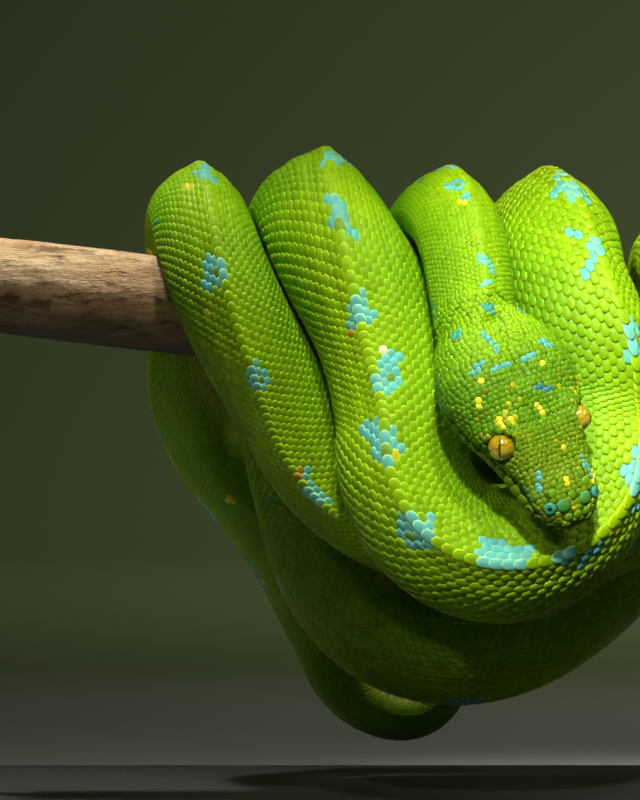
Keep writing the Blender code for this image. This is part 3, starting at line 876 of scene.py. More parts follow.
def as_arrays(bm: bmesh.types.BMesh) -> tuple[Array, list[list[int]]]:
    """The points and faces of a bmesh, which is then freed."""
    bm.verts.ensure_lookup_table()
    points = np.array([v.co[:] for v in bm.verts])
    faces = [[v.index for v in f.verts] for f in bm.faces]
    bm.free()
    return points, faces


def places_of(mesh: bpy.types.Mesh) -> Array:
    """The mesh's points in millimetres."""
    place = np.empty(len(mesh.vertices) * 3)
    mesh.vertices.foreach_get("co", place)
    return place.reshape(-1, 3) / MM


def grid_template(across: int, along: int) -> bmesh.types.BMesh:
    """A flat sheet of squares from -1 to 1."""
    bm = bmesh.new()
    bmesh.ops.create_grid(bm, x_segments=across, y_segments=along, size=1.0)
    return bm


def written(bm: bmesh.types.BMesh, name: str) -> bpy.types.Mesh:
    """Write a bmesh out as a mesh, shaded smooth."""
    mesh = bpy.data.meshes.new(name)
    bm.to_mesh(mesh)
    bm.free()
    mesh.shade_smooth()
    return mesh


def shown(mesh: bpy.types.Mesh, name: str, slot: Optional[Slot], *materials: bpy.types.Material,
          stands_for: Sequence[str] = ()) -> bpy.types.Object:
    """Show a finished mesh as a piece of the model.

    Args:
        mesh: The finished mesh, in metres and in place.
        name: The piece's name.
        slot: The record's material slot, or None for the studio's own pieces; only whether it is None is
            read, and a piece with a slot is attached to the model's root.
        materials: The finishes.
        stands_for: CAD nodes that it replaces.

    Returns:
        The object.
    """
    item = bpy.data.objects.new(name, mesh)
    bpy.context.scene.collection.objects.link(item)
    for material in materials:
        mesh.materials.append(material)
    if slot is not None:
        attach(item, "root")
        if stands_for:
            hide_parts(*stands_for)
    LOG.info("%s: %d faces", name, len(mesh.polygons))
    return item


def bend_sheet(bm: bmesh.types.BMesh, shape: Callable[[Array, Array], Array]) -> tuple[Array, Array]:
    """Move a flat sheet's points onto a surface.

    Args:
        bm: A sheet from grid_template.
        shape: Takes the two sheet coordinates, 0 to 1, and gives places in millimetres.

    Returns:
        The two sheet coordinates of each point.
    """
    bm.verts.ensure_lookup_table()
    flat = np.array([v.co[:2] for v in bm.verts])
    s, t = (flat[:, 0] + 1) / 2, (flat[:, 1] + 1) / 2
    for vert, place in zip(bm.verts, shape(s, t) * MM):
        vert.co = place
    return s, t


def closed_tube(bm: bmesh.types.BMesh) -> None:
    """Join a rolled sheet along its seam, close its two ends and turn its faces outwards."""
    bmesh.ops.remove_doubles(bm, verts=bm.verts, dist=1e-7)
    edges = [e for e in bm.edges if e.is_boundary]
    bmesh.ops.holes_fill(bm, edges=edges, sides=0)
    ends = [f for f in bm.faces if len(f.verts) > 4]
    bmesh.ops.poke(bm, faces=ends)
    bmesh.ops.recalc_face_normals(bm, faces=bm.faces)


def paint_points(mesh: bpy.types.Mesh, colours: Array) -> None:
    """Store a linear colour for each point as the attribute that the finishes read."""
    layer = mesh.color_attributes.new(name="Paint", type="FLOAT_COLOR", domain="POINT")
    layer.data.foreach_set("color", np.hstack([colours, np.ones((len(colours), 1))]).ravel())


def lay_map(mesh: bpy.types.Mesh, flat: Array) -> None:
    """Store two map coordinates for each corner."""
    mesh.uv_layers.new(name="OFBake").data.foreach_set("uv", flat.ravel())


def repeated(name: str, place: Array, faces: Sequence[Sequence[int]], colours: Array,
             flat: Array) -> bpy.types.Mesh:
    """Copies of one small solid, joined in one painted and mapped mesh.

    Args:
        name: The mesh's name.
        place: The points of all the copies in millimetres, copy after copy.
        faces: The faces of one copy.
        colours: A linear colour for each point.
        flat: Two map coordinates for each point.

    Returns:
        The mesh.
    """
    corners = np.concatenate([np.array(f) for f in faces])
    starts = np.r_[0, np.cumsum([len(f) for f in faces])[:-1]]
    points = int(corners.max()) + 1
    copies = np.arange(len(place) // points)[:, None]
    index = (corners[None] + copies * points).ravel()
    start = (starts[None] + copies * len(corners)).ravel()
    mesh = bpy.data.meshes.new(name)
    mesh.vertices.add(len(place))
    mesh.vertices.foreach_set("co", (place * MM).ravel())
    mesh.loops.add(len(index))
    mesh.loops.foreach_set("vertex_index", index.astype(np.int32))
    mesh.polygons.add(len(start))
    mesh.polygons.foreach_set("loop_start", start.astype(np.int32))
    mesh.update(calc_edges=True)
    mesh.validate()
    mesh.shade_smooth()
    paint_points(mesh, colours)
    lay_map(mesh, flat[index])
    return mesh


UNWRAP_STRIPS = 4
SCALE_PATCH = 0.0014          # half the side of one scale's patch on the map


def strips_along(u: Array, length: float) -> Array:
    """How many strips of the map lie ahead of each distance, whole ones and the share of its own."""
    return np.clip((u + HEAD_LENGTH) / (length + HEAD_LENGTH), 0, 0.99999) * UNWRAP_STRIPS


def unwrap(u: Array, phi: Array, length: float, strip: Optional[Array] = None) -> Array:
    """The skin laid flat: the body opened along the belly, in strips side by side.

    Args:
        u: Distances from the nape.
        phi: Turns in radians, from the belly's middle at -pi round to pi.
        length: The body's length behind the nape.
        strip: The strip that each place is laid in, if its own isn't meant.

    Returns:
        Two map coordinates for each place.
    """
    share = strips_along(u, length)
    strip = np.floor(share) if strip is None else strip
    across = (strip + 0.02 + 0.96 * (phi + pi) / (2 * pi)) / UNWRAP_STRIPS
    return np.clip(np.stack([across, 0.01 + 0.98 * (share - strip)], 1), 0, 1)


# ---------------------------------------------------------------- scales

@dataclass(frozen=True)
class ScaleForm:
    """The form of one kind of scale, in shares of its length, width and size."""

    front: float = 0.55          # how square the hidden front end is, and the free rear end
    rear: float = 0.85
    sunk: float = 0.16           # depth of the underside, height of the rim, shoulder and middle
    rim: float = 0.05
    shoulder: float = 0.13
    middle: float = 0.15
    shoulder_share: float = 0.74
    lift: float = 0.07           # rise of the free end
    rim_paint: float = 0.95      # how far the rim takes its own colour
    # Pitted kinds have the middle of the pit painted near-black: painted shade in the hollow.
    paints_pit_shade: bool = False


class ScaleKind(Enum):
    """The kinds of scales that the coat has."""

    SHIELD = ScaleForm()
    BEAD = ScaleForm(front=0.8, rear=0.9, sunk=0.14, rim=0.05, shoulder=0.17, middle=0.21,
                     shoulder_share=0.68, lift=0.03, rim_paint=0.6)
    PLATE = ScaleForm(front=0.6, rear=0.6, sunk=0.14, rim=0.07, shoulder=0.13, middle=0.15,
                      shoulder_share=0.74, lift=0.01, rim_paint=0.3)
    PITTED = ScaleForm(front=0.6, rear=0.6, sunk=0.14, rim=0.12, shoulder=0.15, middle=-0.10,
                       shoulder_share=0.5, lift=0.0, rim_paint=0.2, paints_pit_shade=True)
    NOSTRIL = ScaleForm(front=1.0, rear=1.0, sunk=0.10, rim=0.10, shoulder=0.30, middle=-0.18,
                        shoulder_share=0.52, lift=0.0, rim_paint=0.0, paints_pit_shade=True)


@dataclass
class ScaleSet:
    """Many scales of one kind: where they sit, how big they are and their colours."""

    spots: Spots
    length: Array
    width: Array
    colours: tuple[Array, Array]
    kind: ScaleKind

    def part(self, mask: Array) -> "ScaleSet":
        """Only the scales where the mask is true."""
        return ScaleSet(self.spots.pick(mask), self.length[mask], self.width[mask],
                        (self.colours[0][mask], self.colours[1][mask]), self.kind)


class ScaleStamp:
    """The one small solid that every scale is pressed from."""

    def __init__(self, sides: int = 8) -> None:
        """Model it: a drum, its top inset and poked."""
        bm = bmesh.new()
        bmesh.ops.create_circle(bm, cap_ends=True, segments=sides, radius=1.0)
        made = bmesh.ops.extrude_face_region(bm, geom=list(bm.faces), use_keep_orig=True)
        top = [e for e in made["geom"] if isinstance(e, bmesh.types.BMVert)]
        bmesh.ops.translate(bm, verts=top, vec=(0, 0, 1))
        bm.faces.ensure_lookup_table()
        cap = [f for f in bm.faces if f.calc_center_median().z > 0.99]
        bmesh.ops.inset_region(bm, faces=cap, thickness=0.35)
        cap = [f for f in bm.faces if f.calc_center_median().z > 0.99 and len(f.verts) == sides]
        bmesh.ops.poke(bm, faces=cap)
        bmesh.ops.recalc_face_normals(bm, faces=bm.faces)
        self.points, self.faces = as_arrays(bm)
        distance = np.linalg.norm(self.points[:, :2], axis=1)
        self.angle = np.arctan2(self.points[:, 1], self.points[:, 0])
        self.level = np.where(self.points[:, 2] < 0.5, 0, np.where(distance > 0.9, 1,
                              np.where(distance > 0.1, 2, 3)))
        self.triangles = sum(len(f) - 2 for f in self.faces)

    def pressed(self, form: ScaleForm) -> tuple[Array, Array]:
        """The stamp in one kind's form.

        Args:
            form: The kind's form.

        Returns:
            Its points, in shares of half length, half width and size, and its rim share.
        """
        share = np.array([1.0, 1.0, form.shoulder_share, 0.0])[self.level]
        high = np.array([-form.sunk, form.rim, form.shoulder, form.middle])[self.level]
        cosine, sine = np.cos(self.angle), np.sin(self.angle)
        power = np.where(cosine > 0, form.rear, form.front)
        x = np.sign(cosine) * np.abs(cosine) ** power * share
        y = np.sign(sine) * np.abs(sine) ** power * share
        rim = np.where(self.level == 1, form.rim_paint, np.where(self.level == 2, 0.12, 0.0))
        rim = rim * np.where(x > -0.3, 1.0, 0.35)
        return np.stack([x, y, high + form.lift * x], 1), rim

    def strewn(self, name: str, sets: Sequence[ScaleSet], length: float,
               material: bpy.types.Material) -> bpy.types.Object:
        """Press all the scales of some sets into one mesh.

        Args:
            name: The piece's name.
            sets: The scales.
            length: The body's length, for the map.
            material: The finish.

        Returns:
            The piece.
        """
        places, colours, maps = [], [], []
        for group in sets:
            form, rim = self.pressed(group.kind.value)
            size = np.sqrt(group.length * group.width)
            local = form[None] * np.stack([group.length / 2, group.width / 2, size], 1)[:, None]
            at = group.spots
            world = (at.place[:, None] + local[..., :1] * at.tailward[:, None]
                     + local[..., 1:2] * at.sideways[:, None] + local[..., 2:] * at.outward[:, None])
            places.append(world.reshape(-1, 3))
            middle, edge = group.colours
            tint = middle[:, None] * (1 - rim[None, :, None]) + edge[:, None] * rim[None, :, None]
            # Painted shade: the middle of a nostril or heat pit is painted near-black.
            if group.kind.value.paints_pit_shade:
                tint[:, self.level == 3] = Paint.HOLLOW_SHADE.light
            tint[:, self.level == 0] *= 0.35
            colours.append(tint.reshape(-1, 3))
            round_ = np.arctan2(np.sin(at.phi), np.cos(at.phi))
            flat = unwrap(at.u, round_, length)[:, None] + SCALE_PATCH * form[None, :, :2]
            maps.append(np.clip(flat, 0, 1).reshape(-1, 2))
        place, tint, flat = np.vstack(places), np.vstack(colours), np.vstack(maps)
        mesh = repeated(name, place, self.faces, tint, flat)
        return shown(mesh, name, Slot.SKIN, material)


@dataclass
class Coat:
    """All the scales, from the lips to the tail's tip."""

    hide: Hide
    markings: Markings
    material: bpy.types.Material
    rows: int = 45
    row_end: float = 146.0               # degrees from the ridge to the last row of the flank
    pitch: float = 2.45                  # along the body at its full radius
    pitch_power: float = 0.85
    belly_pitch: float = 4.9
    neck_fineness: float = 0.78          # share of the pitch at the nape, full from neck_end on
    neck_end: float = 50.0
    bead_end: float = 16.0               # the nape's scales are rounded up to here
    overlap_along: float = 1.16
    overlap_across: float = 1.30
    longest_scale: float = 4.5
    head_pitch_places: tuple[float, ...] = (0, 10, 20, 34, 44, 52)
    head_pitches: tuple[float, ...] = (1.3, 1.52, 1.5, 1.3, 1.45, 1.4)
    head_row_share: float = 0.87         # distance of the head's rows over their pitch
    head_jitter: float = 0.13
    lip_run: tuple[float, float, float] = (52.4, 16.0, -2.75)      # first, end and step
    lip_off_mouth: float = 1.62          # from the mouth line to the plates' middle line
    lip_size: tuple[float, float] = (2.9, 2.8)
    piece_triangles: int = 190_000

    def spread(self, pitch: Callable[[Array], Array], start: float, end: float) -> Array:
        """Distances along the body so that neighbours are a pitch apart."""
        fine = np.arange(start, end, 0.25)
        count = np.cumsum(0.25 / pitch(fine))
        return np.interp(np.arange(0, count[-1], 0.5), count, fine)

    def flank_scales(self) -> list[ScaleSet]:
        """Staggered rows over the back and flanks, the ridge's own row a little larger."""
        form_phi = np.radians(np.linspace(0, 180, 181))
        reach = np.interp(np.degrees(form_phi), FORM_ANGLES, FORM_REACH)
        outline = np.stack([reach * np.sin(form_phi), reach * np.cos(form_phi)], 1)
        arc = run(outline)
        half = np.interp(radians(self.row_end), form_phi, arc)
        halves = self.spread(lambda u: self.pitch * self.hide.girth_share(u) ** self.pitch_power
                             * (self.neck_fineness + (1 - self.neck_fineness)
                                * smoothstep(u / self.neck_end)), 2.4, self.hide.length - 1.0)
        sets = []
        for row in range(self.rows):
            offset = (row - self.rows // 2) / (self.rows // 2)
            ridge = abs(row - self.rows // 2)
            phi = np.sign(offset) * np.interp(abs(offset) * half, arc, form_phi)
            u = halves[ridge % 2::2]
            spots = self.hide.spots(u, np.full(len(u), phi))
            step = np.gradient(u) * spots.stretch
            width = self.hide.radius(u) * half / (self.rows // 2) * self.overlap_across
            larger = 1.22 if ridge == 0 else 1.06 if ridge == 1 else 1.0
            colours = self.markings.colours(u, spots.phi, spots.place, 100 + row)
            if ridge < 2:
                colours[1][:] = colours[1] * 0.6 + Paint.RIM.light * (0.55 if ridge == 0 else 0.42)
            length = np.clip(step * self.overlap_along, 0.3, self.longest_scale)
            scales = ScaleSet(spots, length * larger, width * larger, colours, ScaleKind.SHIELD)
            nape = u < self.bead_end
            sets += [replace(scales.part(nape), kind=ScaleKind.BEAD), scales.part(~nape)]
        return sets

    def side_spots(self, along: Array, high: Array) -> tuple[Array, Array]:
        """Turns at which the left side of the head lies at these heights."""
        phi = [self.hide.turn_at(a, h) for a, h in zip(along, high)]
        return -np.asarray(along, float), np.array(phi)

    def head_beads(self) -> list[ScaleSet]:
        """Small rounded scales over the crown, cheeks and throat."""
        us, phis, sizes = [], [], []
        chance = np.random.default_rng(3)
        jitter = self.head_jitter
        along, row = -1.9, 0
        while along < HEAD_LENGTH - 0.5:
            pitch = float(np.interp(along, self.head_pitch_places, self.head_pitches))
            phi = np.linspace(-pi, pi, 721)
            edge = self.hide.points(np.full(len(phi), -along), phi)
            arc = run(edge)
            count = max(6, int(arc[-1] / pitch))
            at = (np.arange(count) + 0.5 * (row % 2) + chance.uniform(-jitter, jitter, count)) / count
            phis.append(np.interp(at * arc[-1], arc, phi))
            us.append(-along + chance.uniform(-jitter, jitter, count) * pitch)
            sizes.append(np.full(count, pitch))
            ahead = self.hide.points(np.full(len(phi), -along - 0.3), phi)
            stretch = np.linalg.norm(ahead - edge, axis=1) / 0.3
            slope = float(np.clip(np.percentile(stretch, 85), 1.0, 2.6))
            sizes[-1] *= np.clip(np.interp(phis[-1], phi, stretch) / slope * 1.1, 0.62, 1.0)
            along += pitch * self.head_row_share / slope
            row += 1
        u, phi, size = np.concatenate(us), np.concatenate(phis), np.concatenate(sizes)
        spots = self.hide.spots(u, phi)
        keep = self.clear_of_plates(spots)
        spots, size = spots.pick(keep), size[keep]
        colours = self.markings.colours(spots.u, spots.phi, spots.place, 5)
        size = size * chance.uniform(0.92, 1.14, len(size))
        return [ScaleSet(spots, size * 1.18, size * 1.11, colours, ScaleKind.BEAD)]

    def head_frame(self, spots: Spots) -> tuple[Array, Array, Array]:
        """The spots' place in the head's own frame: along, to the left, up."""
        offset = spots.place - self.hide.nape
        return offset @ self.hide.forward, offset @ self.hide.left, offset @ self.hide.up

    def clear_of_plates(self, spots: Spots) -> Array:
        """True where no lip plate, nostril, snout plate or eye takes the place."""
        along, wide, high = self.head_frame(spots)
        mouth = np.interp(along, *zip(*MOUTH_LINE))
        lips = (along > 15) & (np.abs(high - mouth) < 3.1) & (np.cos(spots.phi) < 0.6)
        lips &= np.abs(wide) > 0.30 * self.hide.head_section(along)[:, 0]
        clear = ~lips & (eye_distance(along, wide, high) > EYE_RADIUS + 0.75)
        for plate_u, plate_phi, size, _ in self.snout_plates():
            place = self.hide.points(np.array([plate_u]), np.array([plate_phi]))[0]
            clear &= np.linalg.norm(spots.place - place, axis=1) > size * 0.52
        return clear

    def snout_plates(self) -> list[tuple[float, float, float, ScaleKind]]:
        """Larger plates on the snout: distance, turn, size and kind."""
        plates = [(-48.4, 0.0, 2.4, ScaleKind.BEAD), (-52.9, 0.0, 2.4, ScaleKind.BEAD)]
        for side in (-1, 1):
            plates += [
                (-NOSTRIL_PLACE[0], side * NOSTRIL_PLACE[1], 3.3, ScaleKind.NOSTRIL),
                (-50.0, side * 0.33, 3.5, ScaleKind.BEAD),
                (-44.7, side * 0.26, 2.0, ScaleKind.BEAD),
                (-52.8, side * 0.45, 2.3, ScaleKind.BEAD),
                (-46.6, side * 0.42, 2.6, ScaleKind.BEAD),
                (-53.8, side * 1.05, 2.5, ScaleKind.BEAD),
            ]
        return plates

    def lip_plates(self) -> list[ScaleSet]:
        """Plates along both lips, some of them with a heat pit."""
        sets = []
        long, wide = self.lip_size
        for above in (True, False):
            along = np.arange(*self.lip_run)
            mouth = np.interp(along, *zip(*MOUTH_LINE))
            high = mouth + (self.lip_off_mouth if above else -self.lip_off_mouth)
            u, phi = self.side_spots(along, high)
            pitted = (np.arange(len(u)) < 3) if above else (along < 42) & (along > 20)
            for side in (-1, 1):
                spots = self.hide.spots(u, side * phi)
                colours = self.markings.colours(spots.u, spots.phi, spots.place, 40 + side + 2 * above)
                for mask, kind in ((pitted, ScaleKind.PITTED), (~pitted, ScaleKind.PLATE)):
                    part = spots.pick(mask)
                    sets.append(ScaleSet(part, np.full(mask.sum(), long), np.full(mask.sum(), wide),
                                         (colours[0][mask], colours[1][mask]), kind))
        return sets

    def snout_scales(self) -> list[ScaleSet]:
        """The larger plates on the snout, and the nostrils."""
        sets = []
        for u, phi, size, kind in self.snout_plates():
            spots = self.hide.spots(np.array([u]), np.array([phi]))
            green, edge = tone(92, 140, 12), tone(120, 158, 20)
            if size > 3:
                green, edge = tone(66, 134, 44), tone(86, 160, 110)
            if kind is ScaleKind.NOSTRIL:
                green, edge = tone(62, 146, 116), tone(110, 184, 150)
            colours = (green[None], edge[None])
            sets.append(ScaleSet(spots, np.array([size]), np.array([size * 0.96]), colours, kind))
        return sets

    def eye_rings(self) -> list[ScaleSet]:
        """A ring of small scales round each eye."""
        sets = []
        centre = self.hide.turn_at(EYE_PLACE[0], EYE_PLACE[2])
        ring = np.linspace(0, 2 * pi, EYE_RING_SCALES + 1)[:-1]
        size = np.full(EYE_RING_SCALES, 1.5)
        for side in (-1, 1):
            middle = self.hide.spots(np.array([-EYE_PLACE[0]]), np.array([side * centre]))
            girth = float(middle.girth[0])
            spots = self.hide.spots(-EYE_PLACE[0] + 4.35 * np.cos(ring),
                                    side * (centre + 4.15 * np.sin(ring) / girth))
            colours = self.markings.colours(spots.u, spots.phi, spots.place, 60 + side)
            sets.append(ScaleSet(spots, size, size, colours, ScaleKind.BEAD))
        return sets

    def build(self) -> None:
        """Strew all the scales, in pieces of a limited size, and lay the belly plates."""
        stamp = ScaleStamp()
        flanks = self.flank_scales()
        total = sum(len(s.length) for s in flanks)
        pieces = int(np.ceil(total * stamp.triangles / self.piece_triangles))
        u = np.sort(np.concatenate([s.spots.u for s in flanks]))
        limits = [-1e9, *(u[int(len(u) * i / pieces)] for i in range(1, pieces)), 1e9]
        for number, (low, high) in enumerate(zip(limits, limits[1:]), 1):
            part = [s.part((s.spots.u >= low) & (s.spots.u < high)) for s in flanks]
            stamp.strewn(f"coat_scales_{number:02d}", part, self.hide.length, self.material)
        head = self.head_beads() + self.lip_plates() + self.snout_scales() + self.eye_rings()
        stamp.strewn("coat_head_scales", head, self.hide.length, self.material)
        self.belly_plates()

    def belly_plates(self) -> None:
        """Wide overlapping plates along the belly, each a thin solid."""
        bm = grid_template(10, 2)
        bmesh.ops.solidify(bm, geom=list(bm.faces), thickness=0.5)
        bmesh.ops.recalc_face_normals(bm, faces=bm.faces)
        stamp, faces = as_arrays(bm)
        t, s = stamp[:, 0], (stamp[:, 1] + 1) / 2
        upper = np.where(np.abs(stamp[:, 2]) < 0.1, 1.0, 0.0)
        halves = self.spread(lambda u: self.belly_pitch * self.hide.girth_share(u) ** self.pitch_power,
                             1.0, self.hide.length - 2.0)[::2]
        step = np.gradient(halves)
        us = halves[:, None] + step[:, None] * 1.22 * (s - 0.5 - 0.10 * t ** 2)[None]
        phis = pi + radians(180 - self.row_end) * 1.03 * np.broadcast_to(t, us.shape)
        lift = (-0.30 + upper * 0.34 + 0.22 * s)[None] * self.hide.girth_share(halves)[:, None]
        flat_u, flat_phi = us.ravel(), phis.ravel()
        place = self.hide.points(flat_u, flat_phi, lift.ravel())
        tint, _ = self.markings.colours(np.repeat(halves, len(t)), flat_phi, place, 9)
        edge = (np.broadcast_to(s > 0.9, us.shape)).ravel()[:, None]
        tint = np.where(edge, tint * 0.8 + 0.12, tint)
        maps = unwrap(np.repeat(halves, len(t)), np.full(us.size, pi - 0.02), self.hide.length)
        patch = np.stack([np.tile(t, len(halves)) - 1, np.tile(2 * s - 1, len(halves))], 1)
        maps = maps + SCALE_PATCH * patch
        mesh = repeated("coat_belly_plates", place, faces, np.clip(tint, 0, 1), np.clip(maps, 0, 1))
        shown(mesh, "coat_belly_plates", Slot.SKIN, self.material)


@dataclass
class Skin:
    """The one skin under the scales, from the snout to the tail's tip."""

    hide: Hide
    markings: Markings
    material: bpy.types.Material
    sides: int = 96
    head_step: float = 0.42
    body_step: float = 2.0

    def stations(self) -> Array:
        """Distances of the rings, closer together on the head."""
        head = np.arange(-HEAD_LENGTH + 0.3, 4.0, self.head_step)
        count = int((self.hide.length - 4.4) / self.body_step)
        return np.r_[head, np.linspace(4.4, self.hide.length - 0.5, count)]

    def build(self) -> bpy.types.Object:
        """Roll a sheet round the body and paint it under the scales."""
        stations = self.stations()
        bm = grid_template(len(stations) - 1, self.sides)

        def place(s: Array, t: Array) -> Array:
            """Places for the sheet's two coordinates."""
            u = stations[np.rint(s * (len(stations) - 1)).astype(int)]
            return self.hide.points(u, pi + t * 2 * pi)

        s, t = bend_sheet(bm, place)
        u = stations[np.rint(s * (len(stations) - 1)).astype(int)]
        store = bm.verts.layers.float_vector.new("where")
        for vert, far, turn in zip(bm.verts, u, -pi + t * 2 * pi):
            vert[store] = (far, turn, 0.0)
        closed_tube(bm)
        bm.verts.ensure_lookup_table()
        tip = Vector(self.hide.rows[-1, :3] * MM)
        for vert in bm.verts[-2:]:
            vert[store] = (stations[-1] if (vert.co - tip).length < 0.01 else stations[0], 0.0, 0.0)
        where = np.array([v[store][:] for v in bm.verts])
        bm.verts.layers.float_vector.remove(store)
        mesh = written(bm, "snake_skin")
        colours, _ = self.markings.colours(where[:, 0], where[:, 1], places_of(mesh), 77)
        paint_points(mesh, colours * 0.36 + Paint.SEAM.light * 0.3)
        self.lay_flat(mesh, where)
        return shown(mesh, "snake_skin", Slot.SKIN, self.material, stands_for=FLESH_NODES)

    def lay_flat(self, mesh: bpy.types.Mesh, where: Array) -> None:
        """Give the skin its map.

        Args:
            mesh: The skin.
            where: Each point's distance and turn.
        """
        corner = np.empty(len(mesh.loops), np.int32)
        mesh.loops.foreach_get("vertex_index", corner)
        start = np.empty(len(mesh.polygons), np.int32)
        mesh.polygons.foreach_get("loop_start", start)
        face = np.repeat(np.arange(len(start)), np.diff(np.r_[start, len(corner)]))
        u, phi = where[corner, 0], where[corner, 1]
        wide = (np.maximum.reduceat(phi, start) - np.minimum.reduceat(phi, start) > pi)[face]
        phi = np.where(wide & (phi < 0), phi + 2 * pi, phi)
        low = np.minimum.reduceat(u, start)[face]
        length = self.hide.length
        lay_map(mesh, unwrap(u, phi, length, np.floor(strips_along(low, length))))


# ---------------------------------------------------------------- finishes

class Value:
    """A number inside a finish; arithmetic on it adds the nodes that work it out."""

    def __init__(self, recipe: "Recipe", socket: bpy.types.NodeSocket) -> None:
        """Wrap an output socket."""
        self.recipe, self.socket = recipe, socket

    def reckon(self, operation: str, *values: "Value | float") -> "Value":
        """One arithmetic step on these values."""
        node = self.recipe.node("ShaderNodeMath", {"operation": operation},
                                {i: v for i, v in enumerate(values)})
        return Value(self.recipe, node.outputs[0])

    def __add__(self, other: "Value | float") -> "Value":
        """Sum."""
        return self.reckon("ADD", self, other)

    __radd__ = __add__

    def __sub__(self, other: "Value | float") -> "Value":
        """Difference."""
        return self.reckon("SUBTRACT", self, other)

    def __rsub__(self, other: "Value | float") -> "Value":
        """Difference, the other way round."""
        return self.reckon("SUBTRACT", other, self)

    def __mul__(self, other: "Value | float") -> "Value":
        """Product."""
        return self.reckon("MULTIPLY", self, other)

    __rmul__ = __mul__

    def __truediv__(self, other: "Value | float") -> "Value":
        """Quotient."""
        return self.reckon("DIVIDE", self, other)

    def clamped(self) -> "Value":
        """Kept between 0 and 1."""
        return self.reckon("MINIMUM", self.reckon("MAXIMUM", self, 0.0), 1.0)

    def ramp(self, low: float, high: float) -> "Value":
        """0 up to low, 1 from high, and even between."""
        return ((self - low) * (1.0 / (high - low))).clamped()


class Recipe:
    """Builds one material."""

    def __init__(self, name: str, **shader: float) -> None:
        """Start from the standard shader with some constants."""
        self.material = bpy.data.materials.new(name)
        self.material.use_nodes = True
        self.tree = self.material.node_tree
        self.shader = self.tree.nodes["Principled BSDF"]
        for socket, value in shader.items():
            self.shader.inputs[socket.replace("_", " ")].default_value = value
        self.place = self.node("ShaderNodeTexCoord", {}, {}).outputs["Object"]

    def node(self, kind: str, settings: dict, inputs: dict) -> bpy.types.Node:
        """Add a node.

        Args:
            kind: Its type.
            settings: Its properties, set first; "stops" fills a colour ramp.
            inputs: Values or links by socket name or number.

        Returns:
            The node.
        """
        node = self.tree.nodes.new(kind)
        for name, value in settings.items():
            if name == "stops":
                elements = node.color_ramp.elements
                while len(elements) < len(value):
                    elements.new(0.5)
                for element, (position, colour) in zip(elements, value):
                    element.position, element.color = position, (*colour, 1.0)
            else:
                setattr(node, name, value)
        for name, value in inputs.items():
            if isinstance(value, Value):
                value = value.socket
            if isinstance(value, bpy.types.NodeSocket):
                self.tree.links.new(value, node.inputs[name])
            else:
                node.inputs[name].default_value = value
        return node

    def stretched(self, scale: Sequence[float], turn: Sequence[float] = (0, 0, 0)) -> bpy.types.NodeSocket:
        """The object's coordinates, stretched and turned."""
        return self.node("ShaderNodeMapping", {}, {
            "Vector": self.place, "Scale": scale, "Rotation": turn}).outputs[0]

    def cloud(self, scale: float, detail: float = 3.0, vector: Optional[bpy.types.NodeSocket] = None,
              rough: float = 0.55) -> Value:
        """Soft noise."""
        node = self.node("ShaderNodeTexNoise", {}, {
            "Vector": vector or self.place, "Scale": scale, "Detail": detail, "Roughness": rough})
        return Value(self, node.outputs[0])

    def cells(self, scale: float, vector: Optional[bpy.types.NodeSocket] = None,
              feature: str = "F1") -> Value:
        """Distance in a pattern of cells."""
        node = self.node("ShaderNodeTexVoronoi", {"feature": feature}, {
            "Vector": vector or self.place, "Scale": scale})
        return Value(self, node.outputs["Distance"])

    def attribute(self, name: str, output: str) -> bpy.types.NodeSocket:
        """A value stored on the mesh."""
        return self.node("ShaderNodeAttribute", {"attribute_name": name}, {}).outputs[output]

    def coordinates(self) -> list[Value]:
        """The object's three coordinates, in metres."""
        split = self.node("ShaderNodeSeparateXYZ", {}, {0: self.place})
        return [Value(self, output) for output in split.outputs]

    def graded(self, value: Value, *stops: tuple[float, Array]) -> bpy.types.NodeSocket:
        """A colour looked up along some stops."""
        return self.node("ShaderNodeValToRGB", {"stops": stops}, {0: value}).outputs[0]

    def mixed(self, share: "Value | float", first: object, second: object,
              blend: str = "MIX") -> bpy.types.NodeSocket:
        """Two colours mixed."""
        as_colour = [(*c, 1.0) if isinstance(c, np.ndarray) else c for c in (first, second)]
        node = self.node("ShaderNodeMix", {"data_type": "RGBA", "blend_type": blend}, {
            0: share, 6: as_colour[0], 7: as_colour[1]})
        return node.outputs[2]

    def feed(self, **links: object) -> None:
        """Feed the shader's sockets."""
        for name, value in links.items():
            socket = value.socket if isinstance(value, Value) else value
            self.tree.links.new(socket, self.shader.inputs[name.replace("_", " ")])

    def bumped(self, height: Value, strength: float, distance: float) -> None:
        """Raise the surface by a height."""
        node = self.node("ShaderNodeBump", {}, {
            "Height": height, "Strength": strength, "Distance": distance})
        self.feed(Normal=node.outputs[0])


@dataclass(frozen=True)
class ScaleFinish:
    """Satin scales that read their painted colour."""

    name: str
    roughness: float = 0.46
    coat: float = 0.02
    grain: float = 1500.0

    def material(self) -> bpy.types.Material:
        """Make it."""
        recipe = Recipe(self.name, Coat_Weight=self.coat, Coat_Roughness=0.25, Specular_IOR_Level=0.15)
        paint = recipe.attribute("Paint", "Color")
        mottle = recipe.cloud(260.0, 4.0)
        fine = recipe.cloud(self.grain, 3.0)
        value = 0.80 + 0.40 * mottle
        shade = recipe.node("ShaderNodeCombineColor", {}, {0: value, 1: value, 2: value}).outputs[0]
        recipe.feed(Base_Color=recipe.mixed(1.0, paint, shade, "MULTIPLY"),
                    Roughness=(self.roughness - 0.1) + 0.2 * fine)
        recipe.bumped(fine, 0.25, 0.00012)
        return recipe.material


